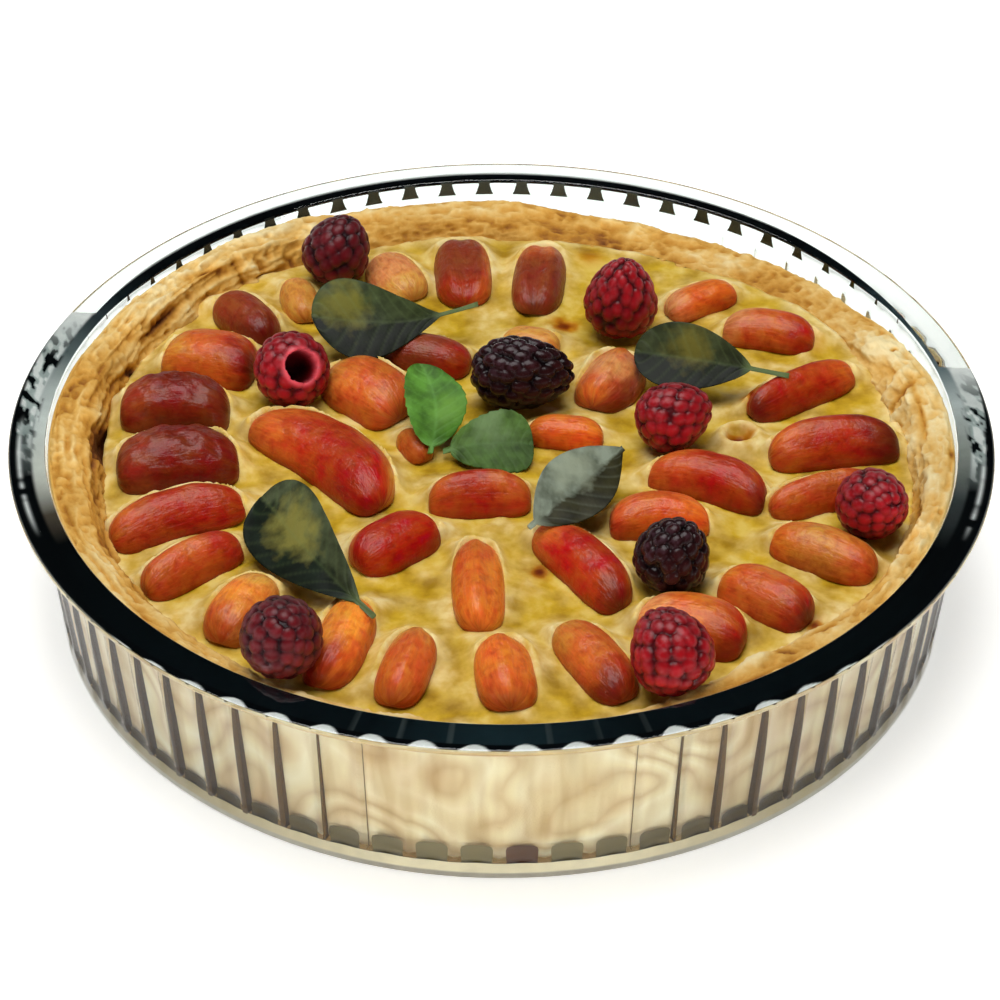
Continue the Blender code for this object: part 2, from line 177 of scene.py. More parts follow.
def addPiece(name, points, faces, material, fields=None):
    # points in millimetres; fields are values kept on the points for the material
    mesh = bpy.data.meshes.new(name)
    mesh.from_pydata((np.asarray(points) * 0.001).tolist(), [], faces)
    mesh.materials.append(material)
    mesh.shade_smooth()
    for title, values in (fields or {}).items():
        values = np.asarray(values, dtype=np.float32)
        if values.ndim == 1:
            mesh.attributes.new(title, "FLOAT", "POINT").data.foreach_set("value", values)
        else:
            full = np.concatenate((values, np.ones((len(values), 1), np.float32)), axis=1)
            mesh.attributes.new(title, "FLOAT_COLOR", "POINT").data.foreach_set("color", full.ravel())
    mesh.update()
    piece = bpy.data.objects.new(name, mesh)
    scene.collection.objects.link(piece)
    return piece


def finishPiece(piece, node):
    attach(piece, "root")
    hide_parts(node)


# Dish: the same profile as the solid, with every flute's round hollow and round ends
dish = {
    "height": 55.3, "rimRadius": 140.0, "rimEdge": 1.8, "rimRounding": 0.7,
    "collarRadius": 133.3, "collarBottom": 49.3, "footRadius": 129.2, "footHeight": 5.8,
    "footRounding": 1.3, "floor": 4.5, "innerTop": 129.5, "innerFloor": 125.0, "corner": 3.0,
    # the foot stands on a ring; inside it the underside lies a little higher
    "footRing": 8.0, "recess": 0.25, "recessSlope": 1.0, "recessRounding": 0.4,
    "flutes": 68, "fluteDepth": 1.3, "fluteEnd": 3.4, "columnsPerFlute": 16,
    # rows at each round end, and the heights and number of those between the ends
    "endRows": 10, "middleRows": (10.5, 44.5, 8),
}


def innerWall(height):
    # radius of the dish's inner face at a height
    share = (height - dish["floor"]) / (dish["height"] - dish["floor"])
    return dish["innerFloor"] + share * (dish["innerTop"] - dish["innerFloor"])


def outerWall(height):
    # radius of the ridges between the flutes at a height
    share = (height - dish["footHeight"]) / (dish["collarBottom"] - dish["footHeight"])
    return dish["footRadius"] + share * (dish["collarRadius"] - dish["footRadius"])


def roundedProfile(corners):
    # corners: radius, height, rounding, points on the straight run that follows. Each corner
    # is a quadratic curve between the two points its rounding away along its sides
    marks = np.array([corner[:2] for corner in corners], float)
    out = []
    for k, (radius, height, rounding, steps) in enumerate(corners):
        here = marks[k]
        if rounding == 0:
            out.append(here[None])
        else:
            before, after = marks[k - 1] - here, marks[k + 1] - here
            start = here + before / np.linalg.norm(before) * rounding
            end = here + after / np.linalg.norm(after) * rounding
            t = np.linspace(0, 1, 6)[:, None]
            out.append((1 - t) ** 2 * start + 2 * t * (1 - t) * here + t**2 * end)
        if steps and k + 1 < len(corners):
            share = np.linspace(0, 1, steps + 2)[1:-1, None]
            out.append(out[-1][-1] * (1 - share) + marks[k + 1] * share)
    return np.concatenate(out)


def makeDish(glass):
    # a profile turned round the axis, with the flutes taken out of its outer wall
    top, bottom, collar = dish["height"], dish["footHeight"], dish["collarBottom"]
    ringInside = dish["footRadius"] - dish["footRing"]
    outside = roundedProfile((
        (0.0, dish["recess"], 0, 2),
        (ringInside - dish["recessSlope"], dish["recess"], dish["recessRounding"], 0),
        (ringInside, 0.0, dish["recessRounding"], 0),
        (dish["footRadius"], 0.0, dish["footRounding"], 0),
        (dish["footRadius"], bottom, 0, 0),
    ))
    end = dish["fluteEnd"]
    endRows = np.linspace(0, end, dish["endRows"] + 1)[1:]
    heights = np.concatenate((bottom + endRows, np.linspace(*dish["middleRows"]), collar - endRows[::-1]))
    wall = np.stack((outerWall(heights), heights), axis=1)
    inside = roundedProfile((
        (dish["collarRadius"], collar, 0, 2),
        (dish["rimRadius"], top - dish["rimEdge"], dish["rimRounding"], 0),
        (dish["rimRadius"], top, dish["rimRounding"], 2),
        (dish["innerTop"], top, dish["rimRounding"], 5),
        (dish["innerFloor"], dish["floor"], dish["corner"], 2),
        (0.0, dish["floor"], 0, 0),
    ))
    radius, height = np.concatenate((outside, wall, inside)).T[:, :, None]
    columns = dish["flutes"] * dish["columnsPerFlute"]
    turn = roundTheClock(columns)[0]
    across = 2 * ((np.arange(columns) / dish["columnsPerFlute"]) % 1) - 1
    # a flute is a paraboloid trough: its depth falls with the square of the way across and,
    # near its ends, of the way past the start of the end
    low = np.clip((bottom + end - height) / end, 0, 2)
    high = np.clip((height - collar + end) / end, 0, 2)
    trough = np.clip(1 - across**2 - (low**2 + high**2), 0, 1)
    trough[:len(outside)] = 0
    trough[len(outside) + len(wall):] = 0
    points, faces = closedSkin(roundGrid(radius - dish["fluteDepth"] * trough, height, turn))
    piece = addPiece("fluted_glass", points, faces, glass)
    finishPiece(piece, "glass_dish")


# What thick glass does to the light: dark and bright areas in it, each a thin plate under its
# surface, placed for the photo's side. Two clocks or radii are where something fades in, or
# out where it is named for its ends, and four where it fades in and out again
trapped = {
    "deep": "0A0E10", "bright": "FFFFFC", "cloudy": "BEC8C4", "thin": 0.1, "inset": 0.35,
    "sharpFrom": 30,
}


def tonesAt(clock, marks, hexCodes):
    # the tone at every clock, blended between the tones at the marks round the dish
    return np.stack([np.interp(clock, marks, channel, period=360) for channel in colours(*hexCodes).T], -1)


def addLoop(name, loop, turn, material, tones):
    # a closed ring: the loop is its section, as radius and height at every column, with the
    # tone of every point
    columns = len(turn)
    grid = np.array([[np.broadcast_to(r, columns), np.broadcast_to(z, columns)] for r, z in loop])
    points = roundGrid(grid[:, 0], grid[:, 1], turn).reshape(-1, 3)
    faces = [[corner % len(points) for corner in face] for face in gridFaces(len(loop) + 1, columns, True)]
    tones = np.broadcast_to(tones, (len(loop), columns, 3)).reshape(-1, 3)
    piece = addPiece(name, points, faces, material, {"tone": tones})
    piece.data.set_sharp_from_angle(angle=math.radians(trapped["sharpFrom"]))
    finishPiece(piece, "glass_dish")


def addSlats(name, clock, inner, outer, half, heights, material, tones):
    # upright slats in the glass, one at every clock: inner and outer radius, half width and
    # height of each row, and a tone for each slat
    count, rows = len(clock), np.shape(heights)[-1]
    inner, outer, half, z = (np.broadcast_to(v, (count, rows)) for v in (inner, outer, half, heights))
    x = np.stack((inner, inner, outer, outer), axis=2)
    y = half[:, :, None] * np.array([-1, 1, 1, -1])
    turn = np.radians(clock - 90)[:, None, None]
    points = np.stack((x * np.cos(turn) - y * np.sin(turn), x * np.sin(turn) + y * np.cos(turn),
                       np.repeat(z[:, :, None], 4, axis=2)), axis=3)
    faces = np.array(gridFaces(rows, 4, True))[:, ::-1]
    ends = np.array([[0, 1, 2, 3], [rows * 4 - 1, rows * 4 - 2, rows * 4 - 3, rows * 4 - 4]])
    faces = np.concatenate((faces, ends))[None] + (np.arange(count) * rows * 4)[:, None, None]
    tones = np.broadcast_to(tones, (count, 3))
    piece = addPiece(name, points.reshape(-1, 3), faces.reshape(-1, 4).tolist(), material,
                     {"tone": np.repeat(tones, rows * 4, axis=0)})
    piece.data.shade_flat()
    finishPiece(piece, "glass_dish")


rimRing = {
    "rows": 26, "columnsPerFlute": 24, "inner": 129.85, "outer": 139.7, "edge": 139.8, "middle": 135.0,
    "top": 55.08, "thin": 0.08, "lip": 0.9, "lipClock": (112, 128),
    # the outer band, painted shade and painted light: dark towards the sides, pale past them
    "band": (132.8, 134.0), "darkClock": (50, 60, 97, 101), "paleClock": (94, 95),
    # painted glints: faint glints on the ridges at the front
    "glint": 0.08, "glintCell": 3.0, "glintGain": 1.6, "glintBase": 0.3, "glintRidge": 0.9,
    "glintEnds": (10, 30),
    # painted reflections: dark and bright blotches at both sides
    "blotchClock": (-112, -103, -90, -78, 76, 84, 92, 101), "blotchShare": (0, 1, 1, 0, 0, 1, 1, 0),
    "blotchCell": (3.4, 2.0), "brightBlotch": (0.08, 0.26), "darkBlotch": (0.10, 0.24),
    "darkRadius": (131.8, 133.2),
    # painted shade: a dark line along the edge, and its width round the clock
    "lineClock": (-111, -98, -84, 84, 97, 101), "lineWidth": (0, 0.8, 2.2, 2.4, 0.5, 0),
    "lineBlur": 0.3, "lineFull": 0.5,
    # a painted reflection: a broken bright streak where the ring turns to the sides
    "streakAt": 136.9, "streakWidth": 0.55, "streakCell": 5.0, "streakGaps": (-0.5, -0.1),
    "streakClock": (66, 72, 84, 91),
    # painted highlights: half-moons over the hollows at the front
    "moonReach": 2.8, "moonWidth": 0.6, "moonEnds": (20, 50), "moonUneven": 0.15, "moonCell": 7.0,
    "moonEdge": (-0.1, 0.25),
}
# round the rim: clock, how far out the shaded ring reaches, tone of its inner part, painted shade where dark
# and painted light where pale
rimShade = (
    (-180, 134.3, "0A0F11"), (-125, 133.9, "0A0F11"), (-118, 133.2, "1E282C"),
    (-113.5, 132.8, "3A464A"), (-112.5, 139.7, "3A464A"), (-104, 139.7, "707C7C"),
    (-96, 139.7, "D4DAD6"), (-90, 139.7, "F0F4F0"), (-77, 139.7, "E8E8DE"), (-70, 139.7, "5E5448"),
    (-64, 139.7, "0A0E10"), (-14, 139.7, "101A1E"), (0, 139.7, "22353B"), (14, 139.7, "101A1E"),
    (64, 139.7, "0A0E10"), (74, 139.7, "4A5050"), (84, 139.7, "A8ACA4"), (94, 139.7, "D8DEDC"),
    (101, 139.7, "8A989A"), (102, 131.0, "7A888C"), (112, 131.2, "4A5A60"), (124, 131.9, "10181C"),
    (140, 133.6, "0A0F11"),
)


def makeRimShade(material):
    # a flat ring of painted shade under the rim's top: black at the back, and at the front as wide as the
    # rim, with a bright half-moon of painted highlight over every hollow and broken bright streaks of painted
    # reflection at the sides
    ring = rimRing
    columns = dish["flutes"] * ring["columnsPerFlute"]
    turn, clock = roundTheClock(columns)
    side, arc = np.abs(clock), np.radians(clock) * ring["middle"]
    ridge = np.abs(2 * ((np.arange(columns) / ring["columnsPerFlute"]) % 1) - 1)
    marks, reaches, innerTones = zip(*rimShade)
    reach = np.interp(clock, marks, reaches, period=360)
    radius = ring["inner"] + (reach - ring["inner"]) * np.linspace(0, 1, ring["rows"])[:, None]
    outside = smoothStep(*ring["band"], radius)
    glints = cloud(75, arc, cell=ring["glintCell"], octaves=2) * ring["glintGain"] + ring["glintBase"]
    glints = ring["glint"] * np.clip(glints, 0, 1) * (ridge > ring["glintRidge"])
    zone = np.interp(clock, ring["blotchClock"], ring["blotchShare"])
    blotches = cloud(74, arc + radius, radius, cell=ring["blotchCell"], octaves=2)
    line = np.interp(clock, ring["lineClock"], ring["lineWidth"], period=360)
    blur = ring["lineBlur"]
    streak = bell(radius - ring["streakAt"], ring["streakWidth"])
    broken = smoothStep(*ring["streakGaps"], cloud(76, arc, cell=ring["streakCell"], octaves=2))
    uneven = 1 + ring["moonUneven"] * (cloud(77, arc, cell=ring["moonCell"]) - 1)
    size = (1 - smoothStep(*ring["moonEnds"], side)) * uneven
    moon = ring["outer"] - ring["moonReach"] * size * (1 - (ridge / ring["moonWidth"]) ** 2)
    deep, bright, cloudy = colours(trapped["deep"], trapped["bright"], trapped["cloudy"])
    tones = np.broadcast_to(tonesAt(clock, marks, innerTones), radius.shape + (3,))
    # each layer covers those above it in this list by its share
    for tone, share in (
        (deep, outside * plateau(ring["darkClock"], side)),
        (cloudy, glints * (1 - smoothStep(*ring["glintEnds"], side))),
        (bright, outside * smoothStep(*ring["paleClock"], side)),
        (cloudy, outside * zone),
        (bright, outside * zone * smoothStep(*ring["brightBlotch"], blotches)),
        (deep, zone * smoothStep(*ring["darkBlotch"], -blotches) * smoothStep(*ring["darkRadius"], radius)),
        (deep, smoothStep(-blur, blur, radius - ring["edge"] + line) * smoothStep(0, ring["lineFull"], line)),
        (bright, streak * broken * plateau(ring["streakClock"], side)),
        (bright, smoothStep(*ring["moonEdge"], radius - moon)),
    ):
        tones = tones + (tone - tones) * np.broadcast_to(share, radius.shape)[..., None]
    top, low = ring["top"], ring["top"] - ring["thin"]
    lip, inner = low - ring["lip"] * smoothStep(*ring["lipClock"], side), radius[0] + ring["thin"]
    loop = [(r, top) for r in radius[::-1]]
    loop += [(radius[0], lip), (inner, lip), (inner, low), (radius[-1], low)]
    addLoop("rim_shade", loop, turn, material, np.concatenate((tones[::-1], tones[[0, 0, 0, -1]])))


rimTeeth = {
    "clock": 106, "growClock": (104, 150), "least": 0.2, "top": 54.9, "inset": 0.3,
    "drops": (0.0, 1.2, 3.4, 4.7), "halfWidths": (2.0, 1.7, 2.3, 2.9),
    "toneClock": (104, 112, 122), "tones": ("A8B4AC", "3A4448", "04080A"),
}


def makeTeeth(material):
    # painted shade: dark dovetails on the inner wall under the rim at the back, one at every hollow, that
    # thin out and turn grey towards the sides
    hollows = (np.arange(dish["flutes"]) + 0.5) * 360 / dish["flutes"] % 360 - 180
    hollows = hollows[np.abs(hollows) > rimTeeth["clock"]]
    size = smoothStep(*rimTeeth["growClock"], np.abs(hollows))[:, None]
    drops = np.array(rimTeeth["drops"]) * (rimTeeth["least"] + (1 - rimTeeth["least"]) * size)
    heights = rimTeeth["top"] - drops
    inner = innerWall(heights) + rimTeeth["inset"]
    half = np.array(rimTeeth["halfWidths"]) * size
    tones = tonesAt(np.abs(hollows), rimTeeth["toneClock"], rimTeeth["tones"])
    addSlats("rim_shade_teeth", hollows, inner, inner + trapped["thin"], half, heights, material, tones)


ridgeBlades = {
    "frontGap": 14, "clock": 112, "depth": 3.4, "halfWidth": 0.8, "leastHalf": 0.02, "least": 0.1,
    "heights": (5.0, 9.5, 12.0, 28.0, 43.0, 46.5, 48.0), "swell": (1.0, 1.0, 1.0, 0.8, 0.6, 0.5, 0.2),
    "deepClock": (10, 34), "wideClock": (12, 26),
    "toneClock": (10, 20, 45, 90), "tones": ("B8A27A", "5E4214", "3C2604", "2E1E02"),
}


def makeRidgeLines(material):
    # painted shade for the dark line that each ridge between the flutes shows: blades behind the ridges, thin
    # seen from the front and wider aslant
    ridges = np.arange(dish["flutes"]) * 360 / dish["flutes"] - 180
    ridges = ridges[(np.abs(ridges) > ridgeBlades["frontGap"]) & (np.abs(ridges) < ridgeBlades["clock"])]
    side = np.abs(ridges)[:, None]
    heights = np.array(ridgeBlades["heights"])
    inner = innerWall(heights) + trapped["inset"]
    least = ridgeBlades["least"]
    deep = least + (1 - least) * smoothStep(*ridgeBlades["deepClock"], side)
    swell = np.array(ridgeBlades["swell"]) * deep
    outer = np.minimum(inner + ridgeBlades["depth"] * swell, outerWall(heights) - trapped["inset"])
    half = ridgeBlades["halfWidth"] * swell * smoothStep(*ridgeBlades["wideClock"], side)
    tones = tonesAt(np.abs(ridges), ridgeBlades["toneClock"], ridgeBlades["tones"])
    addSlats("ridge_shade_lines", ridges, inner, outer, ridgeBlades["leastHalf"] + half, heights, material, tones)


footScoops = {
    "firstFlute": -21, "lastFlute": 21, "bottom": 4.4, "rises": (0.0, 2.2, 5.6, 6.6, 7.1),
    "halfWidths": (4.0, 4.3, 4.4, 4.1, 3.0), "shorter": 0.4, "shorterClock": (16, 40),
    "toneClock": (-90, -30, -10, -1, 2, 4, 6, 30, 90),
    "tones": ("382808", "4A3A18", "80724E", "80724E", "5E3C26", "5E3C26", "80724E", "4A3A18", "382808"),
}


def makeScoops(material):
    # painted shade: round dark scoops where the flutes end at the foot, shorter towards the sides
    flutes = np.arange(footScoops["firstFlute"], footScoops["lastFlute"] + 1)
    hollows = np.round((flutes + 0.5) * 360 / dish["flutes"], 2)
    side = np.abs(hollows)[:, None]
    shorter = 1 - footScoops["shorter"] * smoothStep(*footScoops["shorterClock"], side)
    heights = footScoops["bottom"] + np.array(footScoops["rises"]) * shorter
    outer = outerWall(heights) - dish["fluteDepth"] - trapped["inset"]
    tones = tonesAt(hollows, footScoops["toneClock"], footScoops["tones"])
    addSlats("flute_shade_scoops", hollows, outer - trapped["thin"], outer, np.array(footScoops["halfWidths"]),
             heights, material, tones)


footBand = {
    "columns": 480, "radius": 128.7, "heights": (0.35, 1.9, 2.5, 5.6), "toneClock": (12, 35, 70, 100),
    "edges": ("A2988A", "B4AEA2", "C4C2BA", "C4C2BA"),
    "creams": ("EADCBC", "B8A884", "6E5E3C", "6E5E3C"),
}


def makeFootBand(material):
    # painted light and shade: the tone the foot shows through the glass, a grey edge below and the cream of
    # the pastry above it
    turn, clock = roundTheClock(footBand["columns"])
    edge, cream = (tonesAt(np.abs(clock), footBand["toneClock"], footBand[key])
                   for key in ("edges", "creams"))
    outer, heights = footBand["radius"], footBand["heights"]
    inner = outer - trapped["thin"]
    loop = [(inner, heights[-1]), (inner, heights[0])] + [(outer, z) for z in heights]
    addLoop("foot_shade", loop, turn, material, np.array([cream, edge, edge, edge, cream, cream]))


def glassMaterial():
    # soda-lime glass, pressed in a mould: clear, with the faint blue-green that thick edges
    # show, and a soft waviness 5.6 mm long from the mould. Its specular level is low, because
    # full reflections lie as a grey veil over the dish
    made, shader, add = newMaterial("pressedSodaLimeGlass")
    place = add("TexCoord")["Object"]
    wave = add("TexNoise", {"Vector": place, "Scale": 180.0, "Detail": 2.0})["Fac"]
    setInputs(shader, {
        "Base Color": "F1F8F6", "Roughness": 0.02, "IOR": 1.5, "Specular IOR Level": 0.16,
        "Transmission Weight": 1.0,
        "Normal": add("Bump", {"Height": wave, "Strength": 0.12, "Distance": 0.0004})["Normal"],
    })
    return made


def shadeMaterial():
    # light trapped in thick pressed glass, which the eye sees as dark and bright areas: plates
    # without any shine, in the tone that is kept on their points, a little uneven over 4 mm
    made, shader, add = newMaterial("trappedLight")
    place = add("TexCoord")["Object"]
    wave = add("TexNoise", {"Vector": place, "Scale": 260.0, "Detail": 3.0})["Fac"]
    colour = add("HueSaturation", {
        "Color": add("Attribute", attribute_name="tone")["Color"],
        "Value": add("MapRange", {"Value": wave, "To Min": 0.85, "To Max": 1.15})["Result"],
    })["Color"]
    setInputs(shader, {"Base Color": colour, "Roughness": 0.6, "Specular IOR Level": 0.0})
    return made


makeDish(glassMaterial())
shade = shadeMaterial()
for makeShade in (makeRimShade, makeTeeth, makeRidgeLines, makeScoops, makeFootBand):
    makeShade(shade)
print("glass dish made")

# Pastry: one shell that lines the dish, with its crest and inner edge as in the solid
crust = {
    "columns": 1020, "reach": 0.2, "custardLevel": 43.3,
    "crumple": 0.7, "crumpleSeed": 7, "crumpleTurns": (9, 14, 23, 31), "crumpleFade": 0.3,
    # rows of the profile between its knots; the rows round the crest are softened
    "runs": (1, 3, 3, 14, 10, 10, 20, 24, 3, 1), "softRows": (22, 76), "softPasses": 6, "crestRow": 41,
    # the knots' places, inwards of the wall or below the crest
    "floorInset": 3.0, "cornerInset": 0.6, "cornerRise": 0.7, "wallFoot": 7.5, "shoulder": 3.0,
    "edgeInset": 0.9, "edgeBelow": 0.4, "inset": 3.2, "slopeAt": 0.45, "slopeBelow": 1.8,
    "overCustard": 0.3, "innerInset": 2.0, "innerLevel": 30.0, "middleLevel": 10.0,
    # flaky strands on the left, folds across the back right, rounder lumps elsewhere
    "strands": 1.1, "wrinkles": 0.7, "lumps": 1.3, "flakes": 0.32, "knobs": 1.4,
    "lumpsLeft": -0.6, "lumpsBack": -0.3, "sway": 2.2, "swayCells": 24, "bends": 2.0,
    "wander": 0.9, "wanderCell": 5.0,
    # seed, cells round the rim, cell down the slope and octaves of each noise
    "noises": {
        "bends": (32, 60, 9.0, 1), "strands": (33, 30, 1.5, 2), "wrinkles": (34, 260, 7.0, 2),
        "lumps": (35, 88, 3.4, 3), "flakes": (36, 620, 1.0, 2), "knobs": (37, 210, 2.8, 2),
        "patches": (41, 40, 6.0, 2),
    },
    # clocks between which each side fades in and out
    "left": (-152, -138, -52, -36), "back": (112, 126, 160, 172), "golden": (-162, -140, -118, -100),
    "right": (50, 70, 112, 125), "behind": ((150, 168), (-155, -168)),
    # knots between which the relief and the glass's side fade in and out, and the inner slope in
    "reliefKnots": (4.55, 5.3, 8.0, 9.0), "wallKnots": (1.2, 1.9, 4.0, 4.9), "inwardKnots": (6.3, 7.9),
}
# how brown the pastry is, 0 to 1, with painted light and shade: what each of its sides and forms adds. The
# right side and the back left (golden, a negative share) are painted lighter where light falls, the raised
# relief lighter and its hollows darker, the inner slope on the left painted darker where shade falls, and the
# folds carry painted shade in their crevices and holes
toastAndShadeShares = {"patches": 0.16, "inward": 0.13, "golden": -0.22, "behind": 0.10, "left": 0.05,
            "innerLeft": 0.14, "right": -0.12, "relief": -0.24, "folds": 0.6, "everywhere": 0.30}
# round the rim: clock, height of the crest, radius of the inner edge
crustEdge = np.array((
    (-165, 49.5, 112.5), (-150, 52.5, 114.5), (-135, 53.6, 117.0), (-120, 53.8, 117.0),
    (-102, 54.3, 115.0), (-84, 54.3, 112.5), (-65, 53.3, 117.0), (-45, 51.8, 117.0),
    (-28, 50.3, 118.0), (-8, 49.8, 118.8), (15, 49.8, 118.8), (38, 51.8, 113.5),
    (60, 53.3, 119.0), (80, 54.3, 118.0), (98, 53.8, 115.5), (112, 50.3, 116.5),
    (125, 47.8, 117.0), (145, 45.5, 113.0), (165, 45.5, 112.0), (178, 48.8, 112.0),
))
# folds and crevices: clock, radius, half length, half width, slant from the rim's line, height, and how much
# darker each makes the pastry: brown on the raised folds, painted shade in the crevices and holes
crustFolds = (
    (-134, 125, 8, 2.2, 15, 0.8, 0.3), (-132, 121.5, 9, 1.0, 15, -0.9, 0.5),
    (-139, 117, 5, 2.0, 80, 1.2, 0.1), (-143, 113, 5, 2.0, 75, 1.0, 0.15),
    (-135, 116, 5, 2.0, 85, 1.0, 0.1), (-137, 115, 6, 0.9, 80, -1.0, 0.5),
    (-141, 113, 6, 0.9, 78, -1.0, 0.45), (-146, 114, 5, 1.0, 60, -0.8, 0.4),
    (-127, 116.5, 8, 1.5, 10, 1.2, 0.1), (-126, 113.5, 8, 1.1, 8, -1.2, 0.75),
    (-121, 122, 10, 1.2, 5, 0.8, 0.0), (-120, 119, 9, 0.9, -4, -0.9, 0.5),
    (-109, 114.5, 3, 1.8, 60, -2.4, 1.1), (-110, 118, 9, 2.0, 8, 1.0, 0.1),
    (-93, 118.0, 6, 3.0, 0, 1.6, 0.30), (-91, 113.5, 8, 2.3, 8, -3.2, 1.25),
    (-84, 116.0, 5, 2.0, -40, 0.9, 0.4), (-76, 118.5, 9, 1.8, 4, 0.7, 0.35),
    (-66, 119.5, 8, 1.6, -5, 0.6, 0.4), (-58, 120, 7, 1.4, 6, 0.5, 0.3),
    (113, 121, 6, 5.0, 0, 1.3, -0.1), (110, 124.3, 0.9, 0.9, 0, -1.6, 1.2),
    (110, 124.3, 2.4, 2.4, 0, 0.6, 0.1), (104, 119, 5, 1.6, 60, 1.1, 0.1),
    (98, 118.5, 6, 2.0, 70, 1.1, 0.1), (101, 119, 6, 0.9, 65, -1.0, 0.5),
    (92, 117.5, 9, 2.0, 4, 1.0, 0.1), (95, 121.5, 14, 0.9, 3, -0.9, 0.5),
    (84, 128.2, 2.6, 1.4, 0, 0.0, 0.9), (80, 122, 10, 1.8, -6, 0.8, 0.1),
    (74, 120.5, 8, 0.9, -8, -0.9, 0.5), (62, 121, 8, 2.0, -20, 1.0, 0.05),
    (66, 118.5, 6, 0.9, -20, -1.0, 0.6), (50, 121, 6, 2.0, 10, 1.0, 0.0),
    (43, 117, 8, 2.2, 6, 1.8, -0.1), (34, 118.5, 6, 2.2, -8, 1.7, -0.1),
    (30, 125, 12, 1.0, 0, -1.0, 0.7), (45, 121, 6, 0.9, 10, -0.9, 0.5),
    (25, 120.5, 5, 2.0, 4, 1.4, -0.05), (38, 120.8, 3, 0.9, 40, -1.1, 0.5),
    (55, 118, 5, 2.0, -10, 1.4, -0.05),
    (178, 117, 14, 2.0, 2, 0.9, 0.45), (165, 117, 10, 1.8, 0, 0.6, 0.4),
    (-170, 117, 10, 2.0, -6, 0.9, 0.45), (155, 118, 7, 2.0, 10, 0.5, 0.3),
)


def crustLine(clock):
    # height of the crest and radius of the inner edge, which wanders a little
    marks, heights, radii = crustEdge.T
    cell = crust["wanderCell"]
    wander = crust["wander"] * cloud(38, clock, cell=cell, wrap=round(360 / cell), octaves=2)
    return (np.interp(clock, marks, heights, period=360),
            np.interp(clock, marks, radii, period=360) + wander)


def crumpleLine(clock):
    # a few seeded waves round the crust, between -1 and 1
    draw = np.random.default_rng(crust["crumpleSeed"])
    total = sum(
        np.sin(np.radians(clock) * turns + draw.uniform(0, 2 * math.pi)) / turns ** crust["crumpleFade"]
        for turns in crust["crumpleTurns"]
    )
    return total / np.abs(total).max()


def foldField(clock, radius, folds):
    # every fold is a stretched bump h * exp(-(p / length)^2 - (q / width)^2), with p along it
    # and q across it
    rise, toastAndShade = np.zeros(radius.shape), np.zeros(radius.shape)
    for atClock, atRadius, length, width, slant, height, browningAndShade in folds:
        along = ((clock - atClock + 180) % 360 - 180) * math.pi / 180 * atRadius
        c, s = math.cos(math.radians(slant)), math.sin(math.radians(slant))
        p = (along * c + (radius - atRadius) * s) / length
        q = (-along * s + (radius - atRadius) * c) / width
        bump = np.exp(-(p**2) - q**2)
        rise += height * bump
        # the fold's darkening: brown on a raised fold, painted shade in a crevice or hole
        toastAndShade += browningAndShade * bump
    return rise, toastAndShade


